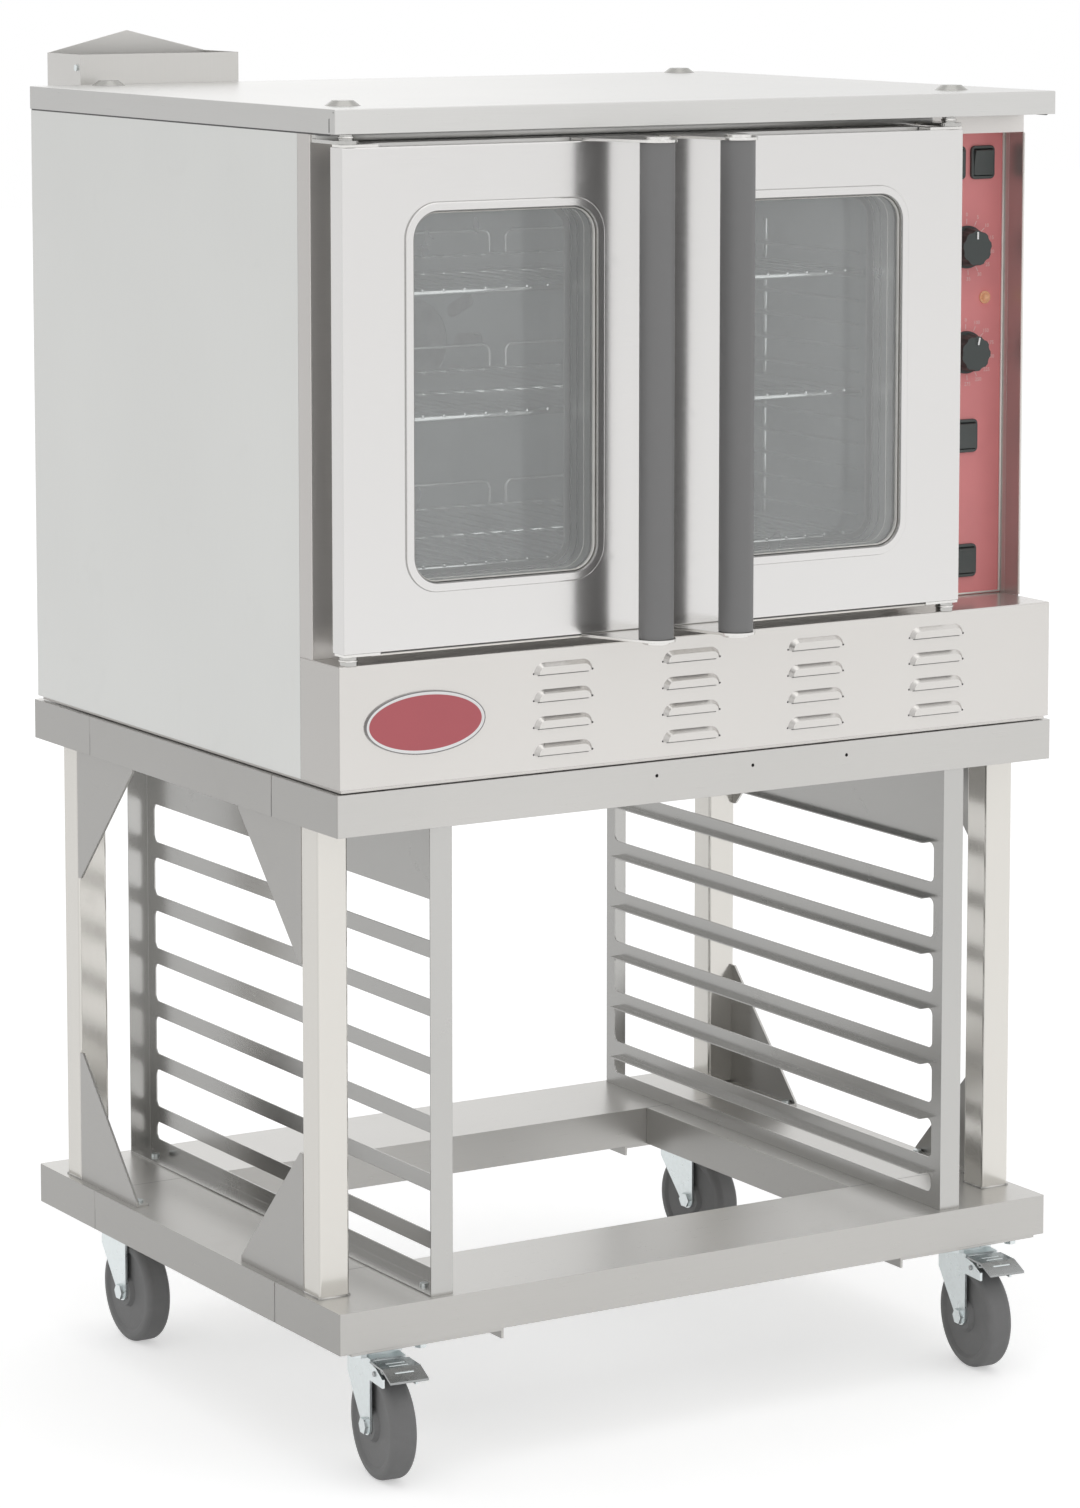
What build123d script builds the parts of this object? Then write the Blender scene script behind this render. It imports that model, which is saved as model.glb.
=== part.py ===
# Full-size electric convection oven on a rolling stand with pan slides.
# Millimetres. X runs to the right seen from the front, Y to the rear, Z up from the floor.
# The origin is on the floor, under the middle of the whole object.

from build123d import *
import math
import os

os.makedirs("parts", exist_ok=True)

# Stand
stand_width = 965
stand_depth = 760
rail_height = 47
base_bottom = 157
top_frame_bottom = 735
cross_rail_depth = 152
side_rail_width = 178
rail_sheet = 2
seam = 0.4
post_size = 38
post_wall = 2
post_side_inset = 9
post_front_inset = 62
post_rear_inset = 60
gusset_length = 148
gusset_height = 158
gusset_sheet = 3
gusset_tip = 6
gusset_flange = 16
front_hole_radius = 2
front_hole_pitch = 130
front_hole_x = 59
front_hole_drop = 16

# Pan slides
slide_web_x = 334
slide_front_inset = 8
slide_flange = 28
slide_sheet = 1.5
slide_levels = 7
slide_pitch = 66.5
lowest_slide = 244
slot_height = 47
slot_strip = 19
slot_corner = 8
lowest_slot_height = 22
ledge_depth = 12
ledge_end = 8

# Casters
wheel_radius = 62.5
wheel_width = 32
caster_side_inset = 75
front_caster_inset = 62
rear_caster_inset = 80
caster_trail = 33
mount_sheet = 3
mount_reach = 210
mount_side_inset = 15
mount_lip = 12
plate_thickness = 3
plate_width = 95
plate_length = 105
bolt_spacing_x = 76
bolt_spacing_y = 86
kingpin_radius = 7
kingpin_head_radius = 11
kingpin_head = 2.5
crown_radius = 34
crown_height = 12.4
leg_sheet = 3
wheel_side_gap = 0.3
hub_reach = 18.2
axle_radius = 6
axle_head_radius = 9.5
axle_head = 5
running_gap = 0.08
swivel_gap = 0.3
pedal_width = 46
front_turn = -6.5
rear_left_turn = 0
rear_right_turn = 6.7

# Oven body
body_width = 959
body_depth = 755
body_gap = 5
sheet = 1.2
lower_panel_height = 136
lower_panel_depth = 88
frame_setback = 61
cover_top = 1525
cover_height = 27
cover_front = 2
cover_hem = 15
cover_overhang = 1.2
panel_return = 18
panel_screw_inset = 25
panel_screw_end = 40
slide_screw_end = 40
gusset_screw_side = 6
gusset_screw_end = 12
louvre_columns = 4
louvre_rows = 4
louvre_pitch_x = 170
louvre_pitch_z = 30.25
louvre_x = 60
louvre_z = 855.6
louvre_width = 76
louvre_height = 13
louvre_rise = 5
louvre_taper = 42
badge_x = -372.5
badge_z = 853.7
badge_width = 151
badge_height = 70
badge_thickness = 2.5
badge_rim = 3
badge_rim_step = 0.6
bend = 1.5

# Doors
door_width = 408
door_height = 548
door_bottom = 936
door_proud = 4
door_skin_depth = 25
doors_middle_x = -66
door_split = 3
plug_side_inset = 35
plug_split_inset = 2
plug_overlap = 3
plug_gap = 3
plug_lip = 30
skin_return = 12
window_width = 233
window_height = 405
window_corner = 30
bead_width = 10
bead_rise = 3
bead_round = 1.4
glass_thickness = 4
glass_recess = 5
pane_border = 8
inner_lip = 6
hinge_inset = 12
hinge_pin_radius = 5
hinge_running_gap = 0.1
hinge_pin_length = 8
hinge_plate_length = 46
hinge_plate_inset = 1
seat_gap = 0.3
bush_radius = 10
strap_sheet = 4
strap_half = 14
strap_reach = 12
handle_reach = 68
handle_from_split = 52.8
grip_radius = 19.5
bracket_radius = 22
bracket_sheet = 3
cap_radius = 15
cap_height = 3
bracket_length = 106
grip_round = 1

# Cavity and fan
cavity_width = 711
cavity_height = 508
cavity_depth = 584
cavity_bottom = 957
liner_sheet = 1.5
liner_flange = 15
gasket_width = 12
gasket_inset = 2
gasket_gap = 0.3
gasket_corner = 14
gasket_inner_corner = 4
insulation_side = 38
insulation_rear = 38
insulation_bottom = 30
insulation_top = 48
insulation_motor_gap = 10
insulation_tube_gap = 1
baffle_width = 520
baffle_end_gap = 20
baffle_setback = 72
intake_ring = 85
intake_eye = 55
intake_slots = 12
intake_slot_length = 40
intake_slot_width = 18
baffle_sheet = 1.5
standoff_radius = 6
standoff_inset = 25
blower_radius = 150
blower_depth = 52
blower_disc = 2
blower_hub_radius = 22
blower_hub_length = 26
blower_blades = 24
blower_back_gap = 10
blade_chord = 22
blade_sheet = 1.5
shaft_radius = 8
shaft_hole_radius = 15
motor_radius = 75
motor_front = 715
motor_length = 122
motor_round = 6
motor_hole_gap = 2
motor_flange_radius = 95
motor_flange = 4
motor_bore_depth = 40
motor_box = 200
motor_box_round = 3
motor_cover_flange = 10
grille_pitch_x = 77
grille_pitch_z = 16
grille_rows = 9
grille_slot_length = 62
grille_slot_height = 5
element_radius = 4.25
element_ring = 178
element_rings = 3
element_step = 15
element_offset = 18
element_leg = 5
element_leg_angles = (60, 120, 240, 300)
vent_tube_radius = 30
vent_tube_x = -305
vent_tube_z = 1400

# Racks
rack_levels = (1008, 1176, 1316)
rack_rod = 4
rack_wire = 2.5
rack_side_gap = 14
rack_depth = 460
rack_front_inset = 33
rack_wires = 24
rack_rest_gap = 0.3
hoop_height = 30
hoop_width = 207
hoop_pitch = 230
hoop_corner = 9
weld_step = 0.3
guide_rod = 4
guide_wire = 2.5
guide_pitch = 28
guide_levels = 14
guide_reach = 18
guide_front_inset = 40

# Controls
recess_left = 370.5
recess_depth = 38
header_bottom = 1474.7
panel_x = 425
plate_sheet = 1.5
knob_radius = 25.3
knob_height = 22
knob_gap = 0.3
knob_skirt = 3
knob_round = 1
knob_grip_radius = 22.8
knob_flutes = 9
flute_offset = 6.5
flute_radius = 8
knob_taper = 6
knob_shaft_depth = 12
pointer_width = 1.6
pointer_start = 11
pointer_end = 18.5
pointer_rise = 0.5
timer_turn = 0
temperature_turn = 13
bushing_radius = 5
panel_fit = 0.2
knob_shaft_radius = 3
timer_z = 1338.5
temperature_z = 1213.5
lamp_x = 452
lamp_z = 1278
lamp_radius = 7.5
lamp_body_radius = 5.5
lamp_rim = 2
lamp_depth = 16
rocker_bezel_width = 34
rocker_bezel_height = 39.5
rocker_bezel_rise = 3.5
rocker_bezel_lip = 2
bezel_corner = 6
bezel_round = 1
rocker_body_depth = 25
rocker_wall = 3.5
rocker_pocket_depth = 11.5
rocker_side_gap = 0.3
rocker_height = 30
rocker_thickness = 12
rocker_front_thickness = 4.5
rocker_dish = 1.5
rocker_tilt = 7
rocker_pivot_depth = 2
upper_rocker_spread = 21
upper_rocker_z = 1438.3
middle_rocker_z = 1114
lower_rocker_z = 964.7
knob_body_size = 60
knob_body_depth = 34

# Rear
rear_box_depth = 91
rear_pad = 2
flue_width = 214.5
flue_left_inset = 70
flue_bottom = 1240
flue_rim = 1561
flue_peak = 1587
flue_pad_border = 18
flue_pad_top = 1490
flue_screw_inset = 10
flue_screw_drop = 16
gland_x = 300
gland_z = 850
gland_radius = 17
gland_body_radius = 12
gland_bore = 8
gland_length = 30
gland_hex = 8
plug_radius = 20
plug_top_radius = 12
plug_rise = 6
plug_spots = ((55, 80), (873, 85), (905, 722), (90, 722))

# Worked-out places
handle_front = door_proud + handle_reach + bracket_radius
rear_reach = body_depth + rear_pad + rear_box_depth
front = (handle_front - rear_reach) / 2
rear_end = front + rear_reach
left = -stand_width / 2
stand_rear = front + stand_depth
base_top = base_bottom + rail_height
top_frame_top = top_frame_bottom + rail_height
body_bottom = top_frame_top + body_gap
lower_top = body_bottom + lower_panel_height
body_half = body_width / 2
inner_half = body_half - sheet
body_rear = front + body_depth
frame_face = front + frame_setback
frame_rear = frame_face + sheet
door_face = front - door_proud
door_back = door_face + door_skin_depth
door_top = door_bottom + door_height
cavity_top = cavity_bottom + cavity_height
cavity_mid_z = cavity_bottom + cavity_height / 2
cavity_half = cavity_width / 2
liner_rear = frame_rear + cavity_depth
cover_bottom = cover_top - cover_height
cover_under = cover_top - sheet
plate_face = frame_face + recess_depth
rear_box_front = body_rear + rear_pad
hinge_y = door_face + hinge_inset
handle_y = door_face - handle_reach
back_panel_rear = body_rear - sheet
motor_y = front + motor_front
back_panel_front = back_panel_rear - sheet
mount_bottom = base_bottom - mount_sheet
plate_bottom = mount_bottom - plate_thickness
crown_top = plate_bottom - swivel_gap
crown_bottom = crown_top - crown_height
leg_inner = hub_reach + wheel_side_gap
leg_outer = leg_inner + leg_sheet


def block(x_span, y_span, z_span, mode=Mode.ADD):
    # A box between two corners, each span given as (low, high).
    middle = [(low + high) / 2 for low, high in (x_span, y_span, z_span)]
    size = [high - low for low, high in (x_span, y_span, z_span)]
    with Locations(tuple(middle)):
        Box(*size, mode=mode)


def rod_y(x, z, y_span, radius, mode=Mode.ADD):
    # A round bar along Y.
    with Locations(Location((x, sum(y_span) / 2, z), (90, 0, 0))):
        Cylinder(radius, y_span[1] - y_span[0], mode=mode)


def rod_x(y, z, x_span, radius, mode=Mode.ADD):
    # A round bar along X.
    with Locations(Location((sum(x_span) / 2, y, z), (0, 90, 0))):
        Cylinder(radius, x_span[1] - x_span[0], mode=mode)


def rod_z(x, y, z_span, radius, mode=Mode.ADD):
    # A round bar along Z.
    with Locations((x, y, sum(z_span) / 2)):
        Cylinder(radius, z_span[1] - z_span[0], mode=mode)


def keep(name, *pieces):
    # Writes one node; several pieces stay separate solids in it.
    solids = [solid for piece in pieces for solid in piece.part.solids()]
    node = Compound(solids) if len(solids) > 1 else solids[0]
    node.label = name
    export_step(node, f"parts/{name}.step")


def frame_rails(bottom):
    # Four folded rails: the cross rails are trays turned upside down, the side rails are channels.
    top = bottom + rail_height
    half = stand_width / 2
    with BuildPart() as rails:
        for y0 in (front, stand_rear - cross_rail_depth):
            block((-half, half), (y0, y0 + cross_rail_depth), (bottom, top))
        upright = rails.edges().filter_by(Axis.Z)
        fillet(upright.group_by(Axis.X)[0] + upright.group_by(Axis.X)[-1], rail_sheet)
        for y0 in (front, stand_rear - cross_rail_depth):
            block(
                (-half + rail_sheet, half - rail_sheet),
                (y0 + rail_sheet, y0 + cross_rail_depth - rail_sheet),
                (bottom, top - rail_sheet),
                Mode.SUBTRACT,
            )
        side_y = (front + cross_rail_depth + seam, stand_rear - cross_rail_depth - seam)
        for side in (-1, 1):
            outer, inner = side * half, side * (half - side_rail_width)
            block(tuple(sorted((outer, inner))), side_y, (bottom, top))
            hollow = sorted((outer - side * rail_sheet, inner + side * rail_sheet))
            block(tuple(hollow), side_y, (bottom, top - rail_sheet), Mode.SUBTRACT)
    return rails


base_frame = frame_rails(base_bottom)
keep("base_frame", base_frame)

top_frame = frame_rails(top_frame_bottom)
with BuildPart() as drilled_top_frame:
    add(top_frame.part)
    for step in (-1, 0, 1):
        hole_z = top_frame_top - front_hole_drop
        hole_x = front_hole_x + step * front_hole_pitch
        rod_y(hole_x, hole_z, (front - 1, front + rail_sheet + 1), front_hole_radius, Mode.SUBTRACT)
keep("top_frame", drilled_top_frame)

# Square tube posts
post_x = stand_width / 2 - post_side_inset - post_size / 2
post_front_y = front + post_front_inset + post_size / 2
post_rear_y = stand_rear - post_rear_inset - post_size / 2
with BuildPart() as stand_posts:
    with BuildSketch(Plane.XY.offset(base_top)):
        with Locations((0, (post_front_y + post_rear_y) / 2)):
            with GridLocations(2 * post_x, post_rear_y - post_front_y, 2, 2):
                RectangleRounded(post_size, post_size, post_wall + 1)
                RectangleRounded(post_size - 2 * post_wall, post_size - 2 * post_wall, 1, mode=Mode.SUBTRACT)
    extrude(amount=top_frame_bottom - base_top)
keep("stand_posts", stand_posts)

# Gusset plates in the side planes, one at each end of each post
with BuildPart() as gussets:
    for side in (-1, 1):
        plate_x = side * (post_x + post_size / 2)
        for post_y, along in ((post_front_y + post_size / 2, 1), (post_rear_y - post_size / 2, -1)):
            for z0, up in ((base_top, 1), (top_frame_bottom, -1)):
                with BuildSketch(Plane.YZ.offset(plate_x)):
                    with BuildLine():
                        Polyline(
                            (post_y, z0),
                            (post_y + along * gusset_length, z0),
                            (post_y + along * gusset_length, z0 + up * gusset_tip),
                            (post_y + along * gusset_tip, z0 + up * gusset_height),
                            (post_y, z0 + up * gusset_height),
                            close=True,
                        )
                    make_face()
                extrude(amount=-side * gusset_sheet)
                flange_x = sorted((plate_x, plate_x - side * gusset_flange))
                flange_y = sorted((post_y + along * gusset_tip, post_y + along * gusset_length))
                flange_z = sorted((z0, z0 + up * gusset_sheet))
                block(tuple(flange_x), tuple(flange_y), tuple(flange_z))
keep("gussets", gussets)

# Punched pan slides, one sheet a side with ledges turned inwards
slide_front = front + slide_front_inset
slide_rear = stand_rear - slide_front_inset


def pan_slide(side):
    web = side * slide_web_x
    slot_front = slide_front + slot_strip
    slot_rear = slide_rear - slot_strip
    with BuildPart() as slide:
        with BuildSketch(Plane.YZ.offset(web)):
            with Locations(((slide_front + slide_rear) / 2, (base_top + top_frame_bottom) / 2)):
                Rectangle(slide_rear - slide_front, top_frame_bottom - base_top)
            for level in range(slide_levels):
                height = slot_height if level else lowest_slot_height
                slot_z = lowest_slide + level * slide_pitch - height / 2
                with Locations(((slot_front + slot_rear) / 2, slot_z)):
                    RectangleRounded(slot_rear - slot_front, height, slot_corner, mode=Mode.SUBTRACT)
        extrude(amount=side * slide_sheet)
        flange_x = tuple(sorted((web, web + side * slide_flange)))
        for y0 in (slide_front, slide_rear - slide_sheet):
            block(flange_x, (y0, y0 + slide_sheet), (base_top, top_frame_bottom))
        for z0 in (base_top, top_frame_bottom - slide_sheet):
            block(flange_x, (slide_front, slide_rear), (z0, z0 + slide_sheet))
        ledge_x = tuple(sorted((web + side * slide_sheet, web - side * ledge_depth)))
        for level in range(slide_levels):
            ledge_z = lowest_slide + level * slide_pitch
            ledge_y = (slot_front + ledge_end, slot_rear - ledge_end)
            block(ledge_x, ledge_y, (ledge_z, ledge_z + slide_sheet))
    return slide


slide_rack_left = pan_slide(-1)
keep("slide_rack_left", slide_rack_left)

slide_rack_right = pan_slide(1)
keep("slide_rack_right", slide_rack_right)

# Caster mounting plates and top plates
caster_x = stand_width / 2 - caster_side_inset
front_caster_y = front + front_caster_inset
rear_caster_y = stand_rear - rear_caster_inset
casters = {
    "front_left": (-caster_x, front_caster_y, front_turn, True),
    "front_right": (caster_x, front_caster_y, front_turn, True),
    "rear_left": (-caster_x, rear_caster_y, rear_left_turn, False),
    "rear_right": (caster_x, rear_caster_y, rear_right_turn, False),
}
with BuildPart() as caster_mounts:
    for side in (-1, 1):
        outer = side * (stand_width / 2 - mount_side_inset)
        inner = side * (stand_width / 2 - mount_reach)
        for y0 in (front, stand_rear - cross_rail_depth):
            depth = (y0 + rail_sheet / 2, y0 + cross_rail_depth - rail_sheet / 2)
            block(tuple(sorted((outer, inner))), depth, (mount_bottom, base_bottom))
            lip = tuple(sorted((inner, inner + side * mount_sheet)))
            block(lip, depth, (base_bottom - mount_lip, base_bottom))
keep("caster_mounts", caster_mounts)

with BuildPart() as caster_plates:
    for x, y, *_ in casters.values():
        block(
            (x - plate_width / 2, x + plate_width / 2),
            (y - plate_length / 2, y + plate_length / 2),
            (plate_bottom, mount_bottom),
        )
        pin_bottom = crown_bottom - swivel_gap
        rod_z(x, y, (pin_bottom, plate_bottom), kingpin_radius)
        rod_z(x, y, (pin_bottom - kingpin_head, pin_bottom), kingpin_head_radius)
keep("caster_plates", caster_plates)

# One caster, drawn about its swivel axis with the wheel towards the front
leg_front = -44
leg_rear = 20
leg_foot = 11
leg_foot_angle = 20
leg_rear_drop = 30
axle_fit = 0.05
lug_top_drop = 4
lug_middle = -62
lug_middle_drop = 6
lug_front = -80
lug_front_drop = 14
lug_bottom_drop = 24
pedal_pin_y = -58
pedal_pin_z = 128
pedal_pin_radius = 3
pedal_pin_reach = 1.5
pedal_sheet = 2.5
pedal_drop = 3.5
pedal_rear = -51
pedal_bend = -84
pedal_tip = -107
pedal_tip_drop = 9
pedal_slots = (-66, -76, -92)
pedal_slot_half = 12
pedal_slot_width = 3
cheek_gap = 0.4
cheek_front = -66
cheek_foot = 5


def caster_fork(braked):
    with BuildPart() as fork:
        rod_z(0, 0, (crown_bottom, crown_top), crown_radius)
        block((-leg_outer, leg_outer), (leg_front - 2, leg_rear), (crown_bottom, crown_bottom + leg_sheet))
        rod_z(0, 0, (crown_bottom - 1, crown_top + 1), kingpin_radius + running_gap, Mode.SUBTRACT)
        for side in (-1, 1):
            with BuildSketch(Plane.YZ.offset(side * leg_inner)):
                with BuildLine():
                    top = crown_bottom + leg_sheet
                    foot = (leg_front + leg_foot, wheel_radius)
                    start = (leg_front, wheel_radius)
                    low = (foot[0], foot[1] - leg_foot)
                    Line((leg_front, top), start)
                    turn_side = leg_foot * math.cos(math.radians(leg_foot_angle))
                    turn_up = leg_foot * math.sin(math.radians(leg_foot_angle))
                    end = (foot[0] + turn_side, foot[1] - turn_up)
                    ThreePointArc(start, low, end)
                    Polyline(end, (leg_rear, top - leg_rear_drop), (leg_rear, top), (leg_front, top))
                make_face()
                if braked:
                    with BuildLine():
                        Polyline(
                            (leg_front, top - lug_top_drop),
                            (lug_middle, top - lug_middle_drop),
                            (lug_front, top - lug_front_drop),
                            (lug_front, top - lug_bottom_drop),
                            (leg_front, top - lug_bottom_drop),
                            close=True,
                        )
                    make_face()
            extrude(amount=side * leg_sheet)
        rod_x(-caster_trail, wheel_radius, (-leg_outer - 1, leg_outer + 1), axle_radius + axle_fit, Mode.SUBTRACT)
        if braked:
            pin_hole = pedal_pin_radius + hinge_running_gap
            rod_x(pedal_pin_y, pedal_pin_z, (-leg_outer - 1, leg_outer + 1), pin_hole, Mode.SUBTRACT)
    return fork


def axle_bolt():
    with BuildPart() as bolt:
        rod_x(-caster_trail, wheel_radius, (-leg_outer, leg_outer), axle_radius)
        for side in (-1, 1):
            with BuildSketch(Plane.YZ.offset(side * leg_outer)):
                with Locations((-caster_trail, wheel_radius)):
                    RegularPolygon(radius=axle_head_radius, side_count=6)
            extrude(amount=side * axle_head)
    return bolt


hub_radius = 17
web_start = 20
web_recess = 3
rim_band = 8
rim_edge = 4
tread_shoulder = 7
tread_bulge = 2.6
tread_rise = 5
tread_edge = 8


def caster_wheel():
    # Half the section, mirrored and turned round the axle line.
    half = wheel_width / 2
    bore = wheel_radius + axle_radius + running_gap
    shoulder = 2 * wheel_radius - tread_shoulder
    with BuildPart() as wheel:
        with BuildSketch(Plane.XZ.offset(caster_trail)):
            with BuildLine():
                Polyline(
                    (0, bore),
                    (hub_reach, bore),
                    (hub_reach, wheel_radius + hub_radius),
                    (half - web_recess, wheel_radius + web_start),
                    (half - web_recess, shoulder - rim_band),
                    (half, shoulder - rim_edge),
                    (half, shoulder),
                )
                ThreePointArc(
                    (half, shoulder),
                    (half - tread_bulge, shoulder + tread_rise),
                    (half - tread_edge, 2 * wheel_radius),
                )
                Line((half - tread_edge, 2 * wheel_radius), (0, 2 * wheel_radius))
                mirror(about=Plane.YZ)
            make_face()
        revolve(axis=Axis((0, -caster_trail, wheel_radius), (1, 0, 0)))
    return wheel


def brake_pedal():
    deck = crown_bottom + leg_sheet - pedal_drop
    deck_top = deck + pedal_sheet
    tip = deck - pedal_tip_drop
    with BuildPart() as pedal:
        with BuildSketch(Plane.YZ.offset(-pedal_width / 2)):
            with BuildLine():
                Polyline(
                    (pedal_rear, deck),
                    (pedal_rear, deck_top),
                    (pedal_bend, deck_top),
                    (pedal_tip, tip + pedal_sheet),
                    (pedal_tip, tip),
                    (pedal_bend, deck),
                    close=True,
                )
            make_face()
        extrude(amount=pedal_width)
        for slot_y in pedal_slots:
            slot_span = (slot_y - pedal_slot_width / 2, slot_y + pedal_slot_width / 2)
            block((-pedal_slot_half, pedal_slot_half), slot_span, (tip - 1, deck_top + 1), Mode.SUBTRACT)
        cheek_outer = leg_inner - cheek_gap
        for side in (-1, 1):
            cheek = tuple(sorted((side * cheek_outer, side * (cheek_outer - pedal_sheet))))
            block(cheek, (cheek_front, pedal_rear), (pedal_pin_z - cheek_foot, deck))
        pin_half = leg_outer + pedal_pin_reach
        rod_x(pedal_pin_y, pedal_pin_z, (-pin_half, pin_half), pedal_pin_radius)
    return pedal


def placed(piece, spot):
    with BuildPart() as moved:
        with Locations(spot):
            add(piece.part)
    return moved


plain_fork = caster_fork(False)
braked_fork = caster_fork(True)
bolt = axle_bolt()
wheel = caster_wheel()
pedal = brake_pedal()
for corner, (x, y, turn, braked) in casters.items():
    spot = Location((x, y, 0), (0, 0, turn))
    keep(f"caster_fork_{corner}", placed(braked_fork if braked else plain_fork, spot), placed(bolt, spot))
    keep(f"caster_wheel_{corner}", placed(wheel, spot))
    if braked:
        keep(f"brake_pedal_{corner}", placed(pedal, spot))

# Fasteners drawn as heads, seated on what they hold


def head(x, y, z, direction, radius=5, height=3):
    # A low round head standing on a face; direction is the way it sticks out.
    with Locations(Plane(origin=(x, y, z), z_dir=direction)):
        Cylinder(radius, height, align=(Align.CENTER, Align.CENTER, Align.MIN))


def hex_head(x, y, z, direction, across=13, height=5):
    with BuildSketch(Plane(origin=(x, y, z), z_dir=direction)) as hexagon:
        RegularPolygon(radius=across / math.sqrt(3), side_count=6)
    extrude(hexagon.sketch, amount=height)


flue_left = left + flue_left_inset
flue_middle = flue_left + flue_width / 2
with BuildPart() as screws:
    for x, y, *_ in casters.values():
        for step_x in (-1, 1):
            for step_y in (-1, 1):
                bolt_x = x + step_x * bolt_spacing_x / 2
                bolt_y = y + step_y * bolt_spacing_y / 2
                hex_head(bolt_x, bolt_y, plate_bottom, (0, 0, -1))
    for side in (-1, 1):
        screw_x = side * (slide_web_x + slide_flange / 2)
        screw_ends = (slide_front + slide_screw_end, slide_rear - slide_screw_end)
        for screw_y in (screw_ends[0], sum(screw_ends) / 2, screw_ends[1]):
            head(screw_x, screw_y, base_top + slide_sheet, (0, 0, 1))
        gusset_screw_x = side * (post_x + post_size / 2 - gusset_sheet - gusset_screw_side)
        for post_y, along in ((post_front_y + post_size / 2, 1), (post_rear_y - post_size / 2, -1)):
            screw_y = post_y + along * (gusset_length - gusset_screw_end)
            head(gusset_screw_x, screw_y, base_top + gusset_sheet, (0, 0, 1))
            head(gusset_screw_x, screw_y, top_frame_bottom - gusset_sheet, (0, 0, -1))
        for screw_z in (body_bottom + panel_screw_end, cavity_mid_z, cover_bottom - panel_screw_end):
            head(side * (body_half - panel_screw_inset), body_rear, screw_z, (0, 1, 0))
    flue_screw_y = rear_box_front + flue_screw_inset
    head(flue_left, flue_screw_y, flue_rim - flue_screw_drop, (-1, 0, 0), radius=4, height=2)
keep("screws", screws)

# Bottom pan on four pads, with two cross-members under the liner
pad_size = 40
pad_inset = 60
member_depth = 40
liner_half = cavity_half + liner_sheet
insulation_under = cavity_bottom - liner_sheet - insulation_bottom
with BuildPart() as bottom_pan:
    block((-inner_half, inner_half), (front + sheet, back_panel_front), (body_bottom, body_bottom + sheet))
    for side in (-1, 1):
        for pad_y in (front + pad_inset, body_rear - pad_inset):
            pad_x = side * (body_half - pad_inset)
            block(
                (pad_x - pad_size / 2, pad_x + pad_size / 2),
                (pad_y - pad_size / 2, pad_y + pad_size / 2),
                (top_frame_top, body_bottom),
            )
    member_x = (doors_middle_x - liner_half, doors_middle_x + liner_half)
    for member_y in (frame_rear + cavity_depth / 4, frame_rear + 3 * cavity_depth / 4):
        member_y_span = (member_y - member_depth / 2, member_y + member_depth / 2)
        hollow_y_span = (member_y_span[0] + liner_sheet, member_y_span[1] - liner_sheet)
        block(member_x, member_y_span, (body_bottom + sheet, insulation_under))
        block(member_x, hollow_y_span, (body_bottom + sheet, insulation_under - liner_sheet), Mode.SUBTRACT)
keep("bottom_pan", bottom_pan)


def louvre_shapes(margin, depth_from, depth_to):
    # Rows of half-round-ended hoods, open below; margin shrinks them evenly.
    foot_z = louvre_z - louvre_height / 2
    with BuildPart() as hoods:
        with BuildSketch(Plane.XZ.offset(-depth_from)):
            with Locations((louvre_x, foot_z)):
                with GridLocations(louvre_pitch_x, louvre_pitch_z, louvre_columns, louvre_rows):
                    width = louvre_width - 2 * margin
                    height = 2 * (louvre_height - margin)
                    RectangleRounded(width, height, height / 2 - 0.5)
        extrude(amount=depth_from - depth_to, taper=louvre_taper)
        for row in range(louvre_rows):
            row_z = foot_z + (row - (louvre_rows - 1) / 2) * louvre_pitch_z
            block(
                (-body_half, body_half), (depth_to - 1, depth_from + 1),
                (row_z - louvre_height, row_z), Mode.SUBTRACT,
            )
    return hoods


# Lower front panel: a tray standing on its long edge, pressed with louvres
recess_outer = recess_left - sheet
lower_rear = front + lower_panel_depth
with BuildPart() as lower_panel:
    block((-body_half, body_half), (front, lower_rear), (body_bottom, lower_top))
    fillet(lower_panel.edges().filter_by(Axis.Z).group_by(Axis.Y)[0], bend)
    fillet(lower_panel.edges().filter_by(Axis.X).sort_by(Axis.Z)[-2:].sort_by(Axis.Y)[0], bend)
    block((-inner_half, inner_half), (front + sheet, lower_rear), (body_bottom, lower_top - sheet), Mode.SUBTRACT)
    block(
        (-inner_half, recess_outer), (frame_rear, lower_rear), (lower_top - sheet, lower_top), Mode.SUBTRACT
    )
    block((recess_outer, inner_half), (lower_rear, plate_face + plate_sheet), (lower_top - sheet, lower_top))
    add(louvre_shapes(0, front, front - louvre_rise).part)
    add(louvre_shapes(sheet, front + sheet, front - louvre_rise + sheet).part, mode=Mode.SUBTRACT)
keep("lower_panel", lower_panel)

# Oval badge with a raised rim, left bare
with BuildPart() as badge:
    with BuildSketch(Plane.XZ.offset(-front)):
        with Locations((badge_x, badge_z)):
            Ellipse(badge_width / 2, badge_height / 2)
    extrude(amount=badge_thickness)
    with BuildSketch(Plane.XZ.offset(-front + badge_thickness)):
        with Locations((badge_x, badge_z)):
            Ellipse(badge_width / 2 - badge_rim, badge_height / 2 - badge_rim)
    extrude(amount=-badge_rim_step, mode=Mode.SUBTRACT)
keep("badge", badge)

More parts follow.
